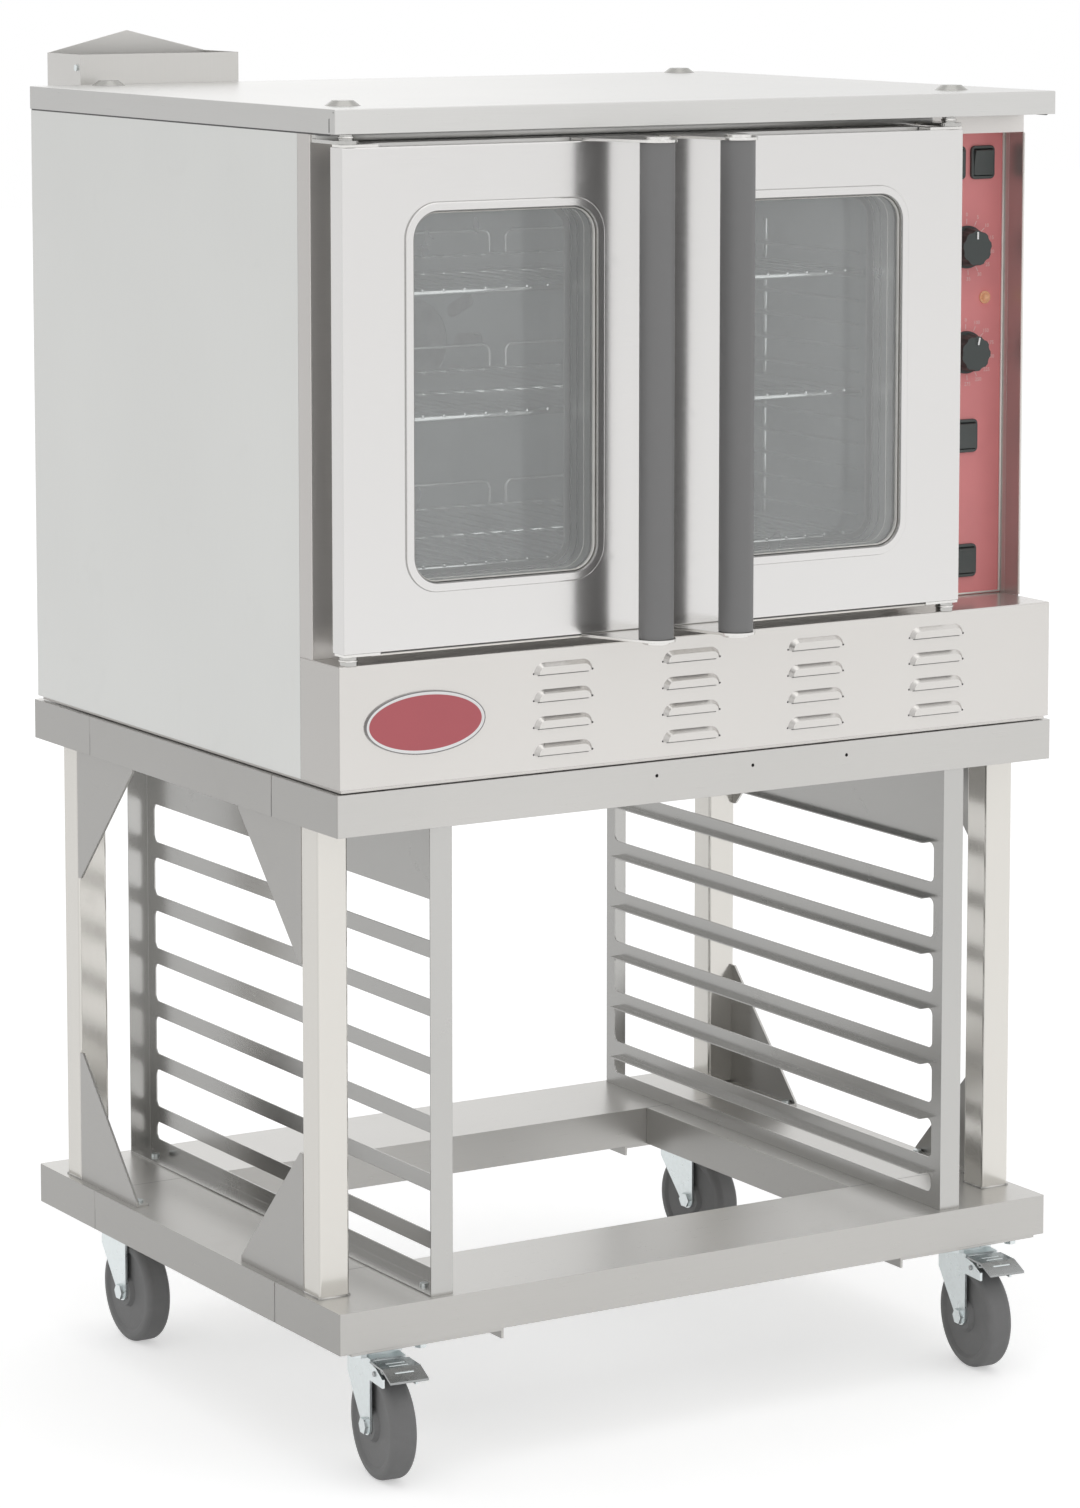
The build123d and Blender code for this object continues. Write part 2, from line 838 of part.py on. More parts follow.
# Front frame: door landing, side returns and the recess for the controls
cavity_x = (doors_middle_x - cavity_half, doors_middle_x + cavity_half)
side_rear = front + lower_panel_depth
with BuildPart() as front_frame:
    block((-body_half, body_half), (frame_face, side_rear), (lower_top, cover_under))
    fillet(front_frame.edges().filter_by(Axis.Z).group_by(Axis.Y)[0], bend)
    block((-inner_half, inner_half), (frame_rear, side_rear), (lower_top, cover_under), Mode.SUBTRACT)
    block(cavity_x, (frame_face, frame_rear), (cavity_bottom, cavity_top), Mode.SUBTRACT)
    block((recess_left, inner_half), (frame_face, frame_rear), (lower_top, header_bottom), Mode.SUBTRACT)
    block((recess_outer, recess_left), (frame_rear, plate_face), (lower_top, header_bottom + sheet))
    block((recess_left, inner_half), (frame_rear, plate_face), (header_bottom, header_bottom + sheet))
keep("front_frame", front_frame)


def side_panel(side):
    with BuildPart() as panel:
        outer = side * body_half
        inner = side * inner_half
        y_span = (side_rear + seam, body_rear)
        block(tuple(sorted((outer, inner))), y_span, (body_bottom, cover_under))
        flange = tuple(sorted((inner, side * (inner_half - panel_return))))
        block(flange, (back_panel_front, back_panel_rear), (body_bottom, cover_under))
    return panel


left_side_panel = side_panel(-1)
keep("left_side_panel", left_side_panel)

right_side_panel = side_panel(1)
keep("right_side_panel", right_side_panel)

with BuildPart() as back_panel:
    block((-inner_half, inner_half), (back_panel_rear, body_rear), (body_bottom, cover_under))
    hole_y = (back_panel_rear - 1, body_rear + 1)
    rod_y(doors_middle_x, cavity_mid_z, hole_y, motor_radius + motor_hole_gap, Mode.SUBTRACT)
    rod_y(vent_tube_x, vent_tube_z, hole_y, vent_tube_radius - liner_sheet, Mode.SUBTRACT)
    rod_y(gland_x, gland_z, hole_y, gland_body_radius, Mode.SUBTRACT)
keep("back_panel", back_panel)

# Top cover: an upturned tray with a return along its front edge
cover_half = body_half + cover_overhang
cover_front_y = front + cover_front
cover_rear = body_rear + cover_overhang
with BuildPart() as top_cover:
    block((-cover_half, cover_half), (cover_front_y, cover_rear), (cover_bottom, cover_top))
    fillet(top_cover.edges().filter_by(Axis.Z), bend)
    fillet(top_cover.edges().group_by(Axis.Z)[-1], bend)
    block(
        (-body_half, body_half), (cover_front_y + sheet, body_rear), (cover_bottom, cover_under), Mode.SUBTRACT
    )
    block(
        (-body_half, body_half),
        (cover_front_y + sheet, cover_front_y + cover_hem),
        (cover_bottom, cover_bottom + sheet),
    )
keep("top_cover", top_cover)

with BuildPart() as top_plugs:
    for spot_x, spot_y in plug_spots:
        with Locations((left + spot_x, front + spot_y, cover_top)):
            Cone(plug_radius, plug_top_radius, plug_rise, align=(Align.CENTER, Align.CENTER, Align.MIN))
keep("top_plugs", top_plugs)

# Flue box behind the body, open at the top, with a gabled rear wall, on a flat pad
flue_x = (flue_left, flue_left + flue_width)
flue_hole_y = (body_rear - 1, rear_box_front + 3 * sheet)
with BuildPart() as flue_box:
    block(flue_x, (rear_box_front, rear_end), (flue_bottom, flue_rim))
    block(
        (flue_x[0] + sheet, flue_x[1] - sheet),
        (rear_box_front + sheet, rear_end - sheet),
        (flue_bottom + sheet, flue_rim),
        Mode.SUBTRACT,
    )
    with BuildSketch(Plane.XZ.offset(-rear_end)):
        with BuildLine():
            Polyline((flue_x[0], flue_rim), (flue_x[1], flue_rim), (flue_middle, flue_peak), close=True)
        make_face()
    extrude(amount=sheet)
    rod_y(vent_tube_x, vent_tube_z, flue_hole_y, vent_tube_radius, Mode.SUBTRACT)
with BuildPart() as flue_pad:
    border_x = (flue_x[0] - flue_pad_border, flue_x[1] + flue_pad_border)
    block(border_x, (body_rear, rear_box_front), (flue_bottom - flue_pad_border, flue_pad_top))
    rod_y(vent_tube_x, vent_tube_z, flue_hole_y, vent_tube_radius, Mode.SUBTRACT)
keep("flue_box", flue_box, flue_pad)

# Oven liner with a mouth flange, a shaft hole and a vent spigot
with BuildPart() as oven_liner:
    liner_x = (cavity_x[0] - liner_sheet, cavity_x[1] + liner_sheet)
    liner_z = (cavity_bottom - liner_sheet, cavity_top + liner_sheet)
    block(liner_x, (frame_rear, liner_rear + liner_sheet), liner_z)
    block(
        (cavity_x[0] - liner_flange, cavity_x[1] + liner_flange),
        (frame_rear, frame_rear + liner_sheet),
        (cavity_bottom - liner_flange, cavity_top + liner_flange),
    )
    block(cavity_x, (frame_rear, liner_rear), (cavity_bottom, cavity_top), Mode.SUBTRACT)
    rod_y(vent_tube_x, vent_tube_z, (liner_rear, back_panel_rear), vent_tube_radius)
    wall_y = (liner_rear - 1, back_panel_rear + 1)
    rod_y(vent_tube_x, vent_tube_z, wall_y, vent_tube_radius - liner_sheet, Mode.SUBTRACT)
    rod_y(doors_middle_x, cavity_mid_z, (liner_rear - 1, liner_rear + 3), shaft_hole_radius, Mode.SUBTRACT)
keep("oven_liner", oven_liner)

with BuildPart() as insulation:
    blanket_y = (frame_rear + liner_sheet, liner_rear + liner_sheet + insulation_rear)
    blanket_x = (liner_x[0] - insulation_side, liner_x[1] + insulation_side)
    blanket_z = (liner_z[0] - insulation_bottom, liner_z[1] + insulation_top)
    block(blanket_x, blanket_y, blanket_z)
    block(liner_x, (blanket_y[0], liner_rear + liner_sheet), liner_z, Mode.SUBTRACT)
    rear_y = (liner_rear, blanket_y[1] + 1)
    rod_y(doors_middle_x, cavity_mid_z, rear_y, motor_radius + insulation_motor_gap, Mode.SUBTRACT)
    rod_y(vent_tube_x, vent_tube_z, rear_y, vent_tube_radius + insulation_tube_gap, Mode.SUBTRACT)
keep("insulation", insulation)

# Fan: baffle on stand-offs, blower wheel with its shaft, motor and cover
baffle_y = liner_rear - baffle_setback
with BuildPart() as fan_baffle:
    baffle_z = (cavity_bottom + baffle_end_gap, cavity_top - baffle_end_gap)
    baffle_x = (doors_middle_x - baffle_width / 2, doors_middle_x + baffle_width / 2)
    block(baffle_x, (baffle_y, baffle_y + baffle_sheet), baffle_z)
    with BuildSketch(Plane.XZ.offset(-baffle_y)):
        with Locations((doors_middle_x, cavity_mid_z)):
            with PolarLocations(intake_ring, intake_slots):
                RectangleRounded(intake_slot_length, intake_slot_width, intake_slot_width / 2 - 0.5)
            Circle(intake_eye)
    extrude(amount=-baffle_sheet, mode=Mode.SUBTRACT)
    for x in (baffle_x[0] + standoff_inset, baffle_x[1] - standoff_inset):
        for z in (baffle_z[0] + standoff_inset, baffle_z[1] - standoff_inset):
            rod_y(x, z, (baffle_y + baffle_sheet, liner_rear), standoff_radius)
keep("fan_baffle", fan_baffle)

blower_rear = liner_rear - blower_back_gap
blower_front = blower_rear - blower_depth
with BuildPart() as blower_wheel:
    rod_y(doors_middle_x, cavity_mid_z, (blower_rear - blower_disc, blower_rear), blower_radius)
    rod_y(doors_middle_x, cavity_mid_z, (blower_rear - blower_hub_length, blower_rear), blower_hub_radius)
    rod_y(doors_middle_x, cavity_mid_z, (blower_rear, motor_y + motor_bore_depth), shaft_radius)
    with BuildSketch(Plane.XZ.offset(-blower_rear)):
        with Locations((doors_middle_x, cavity_mid_z)):
            with PolarLocations(blower_radius - blade_chord / 2, blower_blades):
                Rectangle(blade_chord, blade_sheet)
    extrude(amount=blower_depth)
    with BuildSketch(Plane.XZ.offset(-blower_front)):
        with Locations((doors_middle_x, cavity_mid_z)):
            Circle(blower_radius)
            Circle(blower_radius - blade_chord, mode=Mode.SUBTRACT)
    extrude(amount=blower_disc)
keep("blower_wheel", blower_wheel)

with BuildPart() as fan_motor:
    motor_rear = motor_y + motor_length
    rod_y(doors_middle_x, cavity_mid_z, (motor_y, motor_rear), motor_radius)
    fillet(fan_motor.edges().filter_by(GeomType.CIRCLE), motor_round)
    flange_y = (back_panel_rear - motor_flange, back_panel_rear)
    rod_y(doors_middle_x, cavity_mid_z, flange_y, motor_flange_radius)
    bore_y = (motor_y - 1, motor_y + motor_bore_depth + 1)
    rod_y(doors_middle_x, cavity_mid_z, bore_y, shaft_radius + running_gap, Mode.SUBTRACT)
keep("fan_motor", fan_motor)

with BuildPart() as motor_cover:
    box_x = (doors_middle_x - motor_box / 2, doors_middle_x + motor_box / 2)
    box_z = (cavity_mid_z - motor_box / 2, cavity_mid_z + motor_box / 2)
    block(box_x, (body_rear, rear_end), box_z)
    fillet(motor_cover.edges().group_by(Axis.Y)[-1], motor_box_round)
    block(
        (box_x[0] - motor_cover_flange, box_x[1] + motor_cover_flange),
        (body_rear, body_rear + rear_pad),
        (box_z[0] - motor_cover_flange, box_z[1] + motor_cover_flange),
    )
    block(
        (box_x[0] + sheet, box_x[1] - sheet),
        (body_rear, rear_end - sheet),
        (box_z[0] + sheet, box_z[1] - sheet),
        Mode.SUBTRACT,
    )
    with BuildSketch(Plane.XZ.offset(-rear_end)):
        with Locations((doors_middle_x, cavity_mid_z)):
            with GridLocations(grille_pitch_x, grille_pitch_z, 2, grille_rows):
                SlotOverall(grille_slot_length, grille_slot_height)
    extrude(amount=2 * sheet, mode=Mode.SUBTRACT)
keep("motor_cover", motor_cover)

with BuildPart() as heating_element:
    first_ring = liner_rear - element_offset
    for ring in range(element_rings):
        ring_y = first_ring - ring * element_step
        with Locations(Location((doors_middle_x, ring_y, cavity_mid_z), (90, 0, 0))):
            Torus(element_ring, element_radius)
    for angle in element_leg_angles:
        leg_x = doors_middle_x + element_ring * math.cos(math.radians(angle))
        leg_z = cavity_mid_z + element_ring * math.sin(math.radians(angle))
        rod_y(leg_x, leg_z, (first_ring - (element_rings - 1) * element_step, liner_rear), element_leg)
keep("heating_element", heating_element)

# Rack guides on both walls and three wire racks
guide_drop = rack_rod + guide_wire + rack_rest_gap
guide_y = (frame_rear + guide_front_inset, baffle_y - guide_front_inset)


def rack_guide(side):
    wall = doors_middle_x + side * cavity_half
    upright_x = wall - side * (guide_rod + rack_rest_gap)
    wire_x = wall - side * guide_reach
    lowest = rack_levels[0] - guide_pitch - guide_drop
    with BuildPart() as guide:
        for y in (guide_y[0], sum(guide_y) / 2, guide_y[1]):
            rod_z(upright_x, y, (cavity_bottom, lowest + guide_levels * guide_pitch), guide_rod)
        for level in range(guide_levels):
            z = lowest + level * guide_pitch
            for y in (guide_y[0], sum(guide_y) / 2, guide_y[1]):
                rod_x(y, z, tuple(sorted((upright_x, wire_x))), guide_wire - weld_step)
            rod_y(wire_x, z, (guide_y[0] - guide_wire, guide_y[1] + guide_wire), guide_wire)
    return guide


keep("rack_guides", rack_guide(-1), rack_guide(1))


rack_half = cavity_half - rack_side_gap - rack_rod
rack_front = frame_rear + rack_front_inset
rack_rear = rack_front + rack_depth


def rack_bed(level):
    with BuildPart() as bed:
        for side in (-1, 1):
            side_y = (rack_front - rack_rod, rack_rear + rack_rod)
            rod_y(doors_middle_x + side * rack_half, level, side_y, rack_rod)
        for y in (rack_front, (rack_front + rack_rear) / 2, rack_rear):
            rod_x(y, level, (doors_middle_x - rack_half, doors_middle_x + rack_half), rack_rod - weld_step)
        for wire in range(rack_wires):
            x = doors_middle_x - rack_half + (wire + 1) * 2 * rack_half / (rack_wires + 1)
            rod_y(x, level + 1, (rack_front, rack_rear), rack_wire)
    return bed


def rack_stop(level, x):
    # A bent wire hoop standing on the rear rod, which keeps a pan from sliding off the back.
    foot = level + rack_rod - weld_step
    left_leg, right_leg = x - hoop_width / 2, x + hoop_width / 2
    with BuildPart() as hoop:
        with BuildLine():
            bent_wire = FilletPolyline(
                (left_leg, rack_rear, foot),
                (left_leg, rack_rear, level + hoop_height),
                (right_leg, rack_rear, level + hoop_height),
                (right_leg, rack_rear, foot),
                radius=hoop_corner,
            )
        with BuildSketch(Plane(origin=bent_wire @ 0, z_dir=bent_wire % 0)):
            Circle(rack_wire)
        sweep()
    return hoop


racks = [rack_bed(level) for level in rack_levels]
racks += [rack_stop(level, doors_middle_x + step * hoop_pitch) for level in rack_levels for step in (-1, 0, 1)]
keep("oven_racks", *racks)

# Door gasket round the cavity mouth
with BuildPart() as door_gasket:
    with BuildSketch(Plane.XZ.offset(-frame_face)):
        with Locations((doors_middle_x, cavity_mid_z)):
            outer_width = cavity_width + 2 * (gasket_inset + gasket_width)
            outer_height = cavity_height + 2 * (gasket_inset + gasket_width)
            inner_width = cavity_width + 2 * gasket_inset
            inner_height = cavity_height + 2 * gasket_inset
            RectangleRounded(outer_width, outer_height, gasket_corner)
            RectangleRounded(inner_width, inner_height, gasket_inner_corner, mode=Mode.SUBTRACT)
    extrude(amount=plug_gap - gasket_gap)
keep("door_gasket", door_gasket)

# Hinge bearings: a bush on the lower panel and a strap on the frame for each door
with BuildPart() as hinge_bearings:
    for side in (-1, 1):
        hinge_x = doors_middle_x + side * (door_split / 2 + door_width - hinge_inset)
        hole = hinge_pin_radius + hinge_running_gap
        bush_z = (lower_top, door_bottom - bracket_sheet - seat_gap)
        rod_z(hinge_x, hinge_y, bush_z, bush_radius)
        rod_z(hinge_x, hinge_y, (bush_z[0], bush_z[1] + 1), hole, Mode.SUBTRACT)
        strap_bottom = door_top + bracket_sheet + seat_gap
        strap_z = (strap_bottom, strap_bottom + strap_sheet)
        rod_z(hinge_x, hinge_y, strap_z, strap_half)
        block((hinge_x - strap_half, hinge_x + strap_half), (hinge_y, frame_face), strap_z)
        block(
            (hinge_x - strap_half, hinge_x + strap_half),
            (frame_face - strap_sheet, frame_face),
            (strap_bottom, cover_bottom + strap_reach),
        )
        rod_z(hinge_x, hinge_y, (strap_z[1], cover_bottom - seat_gap), bush_radius - 2)
        rod_z(hinge_x, hinge_y, (strap_bottom - 1, cover_bottom), hole, Mode.SUBTRACT)
keep("hinge_bearings", hinge_bearings)


# Doors, drawn once for each side of the split
def window_shape(growth, mode=Mode.ADD):
    RectangleRounded(window_width + 2 * growth, window_height + 2 * growth, window_corner + growth, mode=mode)


def door_skin(x_span, middle):
    with BuildPart() as skin:
        block(x_span, (door_face, door_back), (door_bottom, door_top))
        fillet(skin.edges().group_by(Axis.Y)[0], bend)
        inside_x = (x_span[0] + sheet, x_span[1] - sheet)
        inside_z = (door_bottom + sheet, door_top - sheet)
        block(inside_x, (door_face + sheet, door_back - sheet), inside_z, Mode.SUBTRACT)
        rim_x = (x_span[0] + skin_return, x_span[1] - skin_return)
        rim_z = (door_bottom + skin_return, door_top - skin_return)
        block(rim_x, (door_back - 2 * sheet, door_back), rim_z, Mode.SUBTRACT)
        with BuildSketch(Plane.XZ.offset(-door_face - sheet)):
            with Locations(middle):
                window_shape(bead_width)
        extrude(amount=bead_rise + sheet)
        with BuildSketch(Plane.XZ.offset(-door_face - glass_recess)):
            with Locations(middle):
                window_shape(sheet)
        extrude(amount=glass_recess)
        with BuildSketch(Plane.XZ.offset(-door_face - glass_recess)):
            with Locations(middle):
                window_shape(0)
        extrude(amount=glass_recess + 2 * bead_rise, mode=Mode.SUBTRACT)
        fillet(skin.edges().group_by(Axis.Y)[0], bead_round)
    return skin


def door_panes(middle):
    inner_front = inner_pane_back - glass_thickness
    with BuildPart() as panes:
        with BuildSketch(Plane.XZ.offset(-pane_front), Plane.XZ.offset(-inner_front)):
            with Locations(middle):
                window_shape(pane_border)
        extrude(amount=-glass_thickness)
    return panes


def door_liner(x_span, middle):
    z_span = (door_bottom - plug_overlap, door_top + plug_overlap)
    with BuildPart() as liner:
        block(x_span, (door_back, plug_back), z_span)
        fillet(liner.edges().group_by(Axis.Y)[-1], bend)
        hollow_x = (x_span[0] + liner_sheet, x_span[1] - liner_sheet)
        hollow_z = (z_span[0] + liner_sheet, z_span[1] - liner_sheet)
        block(hollow_x, (door_back + liner_sheet, inner_pane_back), hollow_z, Mode.SUBTRACT)
        mouth_x = (x_span[0] + plug_lip, x_span[1] - plug_lip)
        mouth_z = (z_span[0] + plug_lip, z_span[1] - plug_lip)
        block(mouth_x, (door_back, door_back + 2 * liner_sheet), mouth_z, Mode.SUBTRACT)
        with BuildSketch(Plane.XZ.offset(-plug_back)):
            with Locations(middle):
                window_shape(-inner_lip)
        extrude(amount=2 * liner_sheet, mode=Mode.SUBTRACT)
    return liner


def pane_spacer(middle):
    pane_back = pane_front + glass_thickness
    with BuildPart() as spacer:
        with BuildSketch(Plane.XZ.offset(-pane_back)):
            with Locations(middle):
                window_shape(pane_border)
                window_shape(0, Mode.SUBTRACT)
        extrude(amount=-(inner_pane_back - glass_thickness - pane_back))
    return spacer


def handle_plates(side, split_x, outer_x):
    grip_x = doors_middle_x + side * handle_from_split
    hinge_x = outer_x - side * hinge_inset
    near_x = split_x + side * plug_split_inset
    far_x = split_x + side * bracket_length
    plate_rear = door_back - plug_split_inset
    with BuildPart() as plates:
        for seat, up in ((door_bottom, -1), (door_top, 1)):
            with BuildSketch(Plane.XY.offset(seat)):
                with BuildLine():
                    CenterArc((grip_x, handle_y), bracket_radius, 0, 360)
                    Polyline((near_x, plate_rear), (far_x, plate_rear), (far_x, door_face))
                make_hull()
            extrude(amount=up * bracket_sheet)
            face = seat + up * bracket_sheet
            rod_z(grip_x, handle_y, tuple(sorted((face, face + up * cap_height))), cap_radius)
            plate_x = tuple(sorted((outer_x - side * hinge_plate_inset, outer_x - side * hinge_plate_length)))
            block(plate_x, (door_face + hinge_plate_inset, plate_rear), tuple(sorted((seat, face))))
            rod_z(hinge_x, hinge_y, tuple(sorted((face, face + up * hinge_pin_length))), hinge_pin_radius)
    return plates


def handle_grip(side):
    with BuildPart() as grip:
        rod_z(doors_middle_x + side * handle_from_split, handle_y, (door_bottom, door_top), grip_radius)
        fillet(grip.edges().filter_by(GeomType.CIRCLE), grip_round)
    return grip


plug_back = frame_face - plug_gap
pane_front = door_face + glass_recess
inner_pane_back = plug_back - liner_sheet
for side, name in ((-1, "left"), (1, "right")):
    split_x = doors_middle_x + side * door_split / 2
    outer_x = split_x + side * door_width
    skin_x = tuple(sorted((split_x, outer_x)))
    plug_x = tuple(sorted((split_x + side * plug_split_inset, outer_x - side * plug_side_inset)))
    middle = ((split_x + outer_x) / 2, (door_bottom + door_top) / 2)
    keep(f"door_{name}_skin", door_skin(skin_x, middle))
    keep(f"door_{name}_liner", door_liner(plug_x, middle), pane_spacer(middle))
    keep(f"door_{name}_glass", door_panes(middle))
    keep(f"door_{name}_grip", handle_grip(side))
    keep(f"door_{name}_brackets", handle_plates(side, split_x, outer_x))

# Controls
rockers = {
    "upper_left": (panel_x - upper_rocker_spread, upper_rocker_z),
    "upper_right": (panel_x + upper_rocker_spread, upper_rocker_z),
    "middle": (panel_x, middle_rocker_z),
    "lower": (panel_x, lower_rocker_z),
}
knobs = {"timer": (timer_z, timer_turn), "temperature": (temperature_z, temperature_turn)}
switch_half_x = rocker_bezel_width / 2 - rocker_bezel_lip
switch_half_z = rocker_bezel_height / 2 - rocker_bezel_lip
pocket_half_x = rocker_bezel_width / 2 - rocker_wall
pocket_half_z = rocker_bezel_height / 2 - rocker_wall
plate_back = plate_face + plate_sheet
bezel_face = plate_face - rocker_bezel_rise

with BuildPart() as control_plate:
    block((recess_outer, inner_half), (plate_face, plate_back), (lower_top, header_bottom + sheet))
    cut_y = (plate_face - 1, plate_back + 1)
    for x, z in rockers.values():
        cut_x = (x - switch_half_x - panel_fit, x + switch_half_x + panel_fit)
        cut_z = (z - switch_half_z - panel_fit, z + switch_half_z + panel_fit)
        block(cut_x, cut_y, cut_z, Mode.SUBTRACT)
    for z, turn in knobs.values():
        rod_y(panel_x, z, cut_y, bushing_radius + panel_fit, Mode.SUBTRACT)
    rod_y(lamp_x, lamp_z, cut_y, lamp_body_radius + panel_fit, Mode.SUBTRACT)
keep("control_plate", control_plate)


def switch_body(x, z):
    with BuildPart() as body:
        block(
            (x - rocker_bezel_width / 2, x + rocker_bezel_width / 2),
            (bezel_face, plate_face),
            (z - rocker_bezel_height / 2, z + rocker_bezel_height / 2),
        )
        fillet(body.edges().filter_by(Axis.Y), bezel_corner)
        fillet(body.edges().group_by(Axis.Y)[0], bezel_round)
        block(
            (x - switch_half_x, x + switch_half_x),
            (plate_face, plate_back + rocker_body_depth),
            (z - switch_half_z, z + switch_half_z),
        )
        block(
            (x - pocket_half_x, x + pocket_half_x),
            (bezel_face - 1, bezel_face + rocker_pocket_depth),
            (z - pocket_half_z, z + pocket_half_z),
            Mode.SUBTRACT,
        )
    return body


def knob_body(z):
    with BuildPart() as body:
        block(
            (panel_x - knob_body_size / 2, panel_x + knob_body_size / 2),
            (plate_back, plate_back + knob_body_depth),
            (z - knob_body_size / 2, z + knob_body_size / 2),
        )
        rod_y(panel_x, z, (plate_face, plate_back), bushing_radius)
        bore_y = (plate_face - 1, plate_back + knob_shaft_depth + 1)
        rod_y(panel_x, z, bore_y, knob_shaft_radius + running_gap, Mode.SUBTRACT)
    return body


keep(
    "control_components",
    *[switch_body(x, z) for x, z in rockers.values()],
    *[knob_body(z) for z, turn in knobs.values()],
)


def rocker_paddle():
    # Drawn about its pivot with the face towards -Y, one end pressed in.
    half_x = pocket_half_x - rocker_side_gap
    with BuildPart() as paddle:
        with BuildSketch(Plane.YZ.offset(-half_x)):
            with BuildLine():
                face = rocker_front_thickness
                Polyline((-face, rocker_height / 2), (rocker_thickness - face, rocker_height / 2))
                Polyline((rocker_thickness - face, rocker_height / 2), (rocker_thickness - face, -rocker_height / 2))
                Polyline((rocker_thickness - face, -rocker_height / 2), (-face, -rocker_height / 2))
                ThreePointArc((-face, -rocker_height / 2), (-face + rocker_dish, 0), (-face, rocker_height / 2))
            make_face()
        extrude(amount=2 * half_x)
        fillet(paddle.edges().group_by(Axis.Y)[0], bezel_round)
    return paddle


paddle = rocker_paddle()
for name, (x, z) in rockers.items():
    spot = Location((x, bezel_face + rocker_pivot_depth, z), (rocker_tilt, 0, 0))
    keep(f"rocker_{name}", placed(paddle, spot))


def control_knob(z, turn):
    # Skirt, tapered grip with a lobe under the pointer line, and the shaft
    skirt_back = plate_face - knob_gap
    skirt_front = skirt_back - knob_skirt
    grip_front = skirt_back - knob_height
    first_flute = 90 + 180 / knob_flutes - turn
    with BuildPart() as knob:
        rod_y(panel_x, z, (skirt_front, skirt_back), knob_radius)
        fillet(knob.edges().group_by(Axis.Y)[0], knob_round)
        with BuildSketch(Plane.XZ.offset(-skirt_front)):
            with Locations((panel_x, z)):
                Circle(knob_grip_radius)
                with PolarLocations(knob_grip_radius + flute_offset, knob_flutes, start_angle=first_flute):
                    Circle(flute_radius, mode=Mode.SUBTRACT)
        extrude(amount=knob_height - knob_skirt, taper=knob_taper)
        pointer = Plane(origin=(panel_x, grip_front, z), x_dir=(1, 0, 0), z_dir=(0, -1, 0)).rotated((0, 0, -turn))
        with BuildSketch(pointer):
            with Locations((0, (pointer_start + pointer_end) / 2)):
                Rectangle(pointer_width, pointer_end - pointer_start)
        extrude(amount=pointer_rise)
        rod_y(panel_x, z, (skirt_back, plate_back + knob_shaft_depth), knob_shaft_radius)
    return knob


for name, (z, turn) in knobs.items():
    keep(f"{name}_knob", control_knob(z, turn))

with BuildPart() as heat_lamp:
    rod_y(lamp_x, lamp_z, (plate_face - lamp_rim, plate_face), lamp_radius)
    rod_y(lamp_x, lamp_z, (plate_face, plate_back + lamp_depth), lamp_body_radius)
    with Locations((lamp_x, plate_face - lamp_rim, lamp_z)):
        Sphere(lamp_body_radius)
keep("heat_lamp", heat_lamp)

# Cable gland at the rear, without a cable
with BuildPart() as power_inlet:
    with BuildSketch(Plane.XZ.offset(-body_rear)):
        with Locations((gland_x, gland_z)):
            RegularPolygon(gland_radius, 6)
    extrude(amount=-gland_hex)
    body_y = (back_panel_rear - gland_hex, body_rear + gland_length)
    rod_y(gland_x, gland_z, body_y, gland_body_radius - panel_fit)
    bore_y = (back_panel_rear - gland_hex - 1, body_rear + gland_length + 1)
    rod_y(gland_x, gland_z, bore_y, gland_bore, Mode.SUBTRACT)
keep("power_inlet", power_inlet)
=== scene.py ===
import bpy
import math
import numpy as np
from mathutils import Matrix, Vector


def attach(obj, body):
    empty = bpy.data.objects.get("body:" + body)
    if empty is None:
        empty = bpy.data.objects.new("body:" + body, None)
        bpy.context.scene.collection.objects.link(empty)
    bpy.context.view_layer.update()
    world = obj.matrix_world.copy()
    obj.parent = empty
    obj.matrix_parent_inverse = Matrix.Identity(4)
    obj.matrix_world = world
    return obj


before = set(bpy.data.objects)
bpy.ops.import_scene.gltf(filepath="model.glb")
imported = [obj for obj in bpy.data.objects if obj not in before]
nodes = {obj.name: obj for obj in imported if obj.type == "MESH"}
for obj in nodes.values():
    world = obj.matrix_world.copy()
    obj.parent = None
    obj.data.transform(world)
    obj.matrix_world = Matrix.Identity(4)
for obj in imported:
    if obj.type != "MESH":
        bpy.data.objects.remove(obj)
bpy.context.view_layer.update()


# camera, floor and light

camera = {
    "place": (-3.0199, -4.9753, 1.7542),
    "yaw": 31.289,     # degrees from +Y towards +X
    "pitch": 6.842,    # degrees down
    "lens": 117.3,
    "shiftY": -0.18,
}
studio = {
    "worldLow": 0.84,      # light from the horizon and below
    "worldHigh": 1.00,     # light from high up
    "worldRise": (-0.15, 0.75),    # upward part of the look direction where the one turns into the other
    "floorSize": 40.0,
    "floorTone": 0.78,
    "floorLift": 0.46,     # what brings the bare floor up to the white of the backdrop
    # name, place, aim, size, watts
    "lamps": [
        ("front", (1.4, -5.4, 3.4), (0.0, 0.0, 0.9), 4.6, 14.0),
        ("left", (-5.2, -1.6, 3.2), (0.0, 0.0, 0.9), 4.0, 9.0),
        ("top", (0.2, -0.4, 4.8), (0.0, 0.0, 1.0), 3.6, 17.0),
        ("back", (1.2, 5.2, 3.2), (0.0, 0.0, 0.9), 4.0, 9.0),
    ],
}

lens = bpy.data.cameras.new("photoCamera")
lens.lens = camera["lens"]
lens.shift_y = camera["shiftY"]
lens.clip_end = 100.0
photoCamera = bpy.data.objects.new("photoCamera", lens)
photoCamera.location = camera["place"]
photoCamera.rotation_euler = (math.radians(90 - camera["pitch"]), 0, math.radians(-camera["yaw"]))
bpy.context.scene.collection.objects.link(photoCamera)
bpy.context.scene.camera = photoCamera
bpy.context.scene.view_settings.view_transform = "Standard"


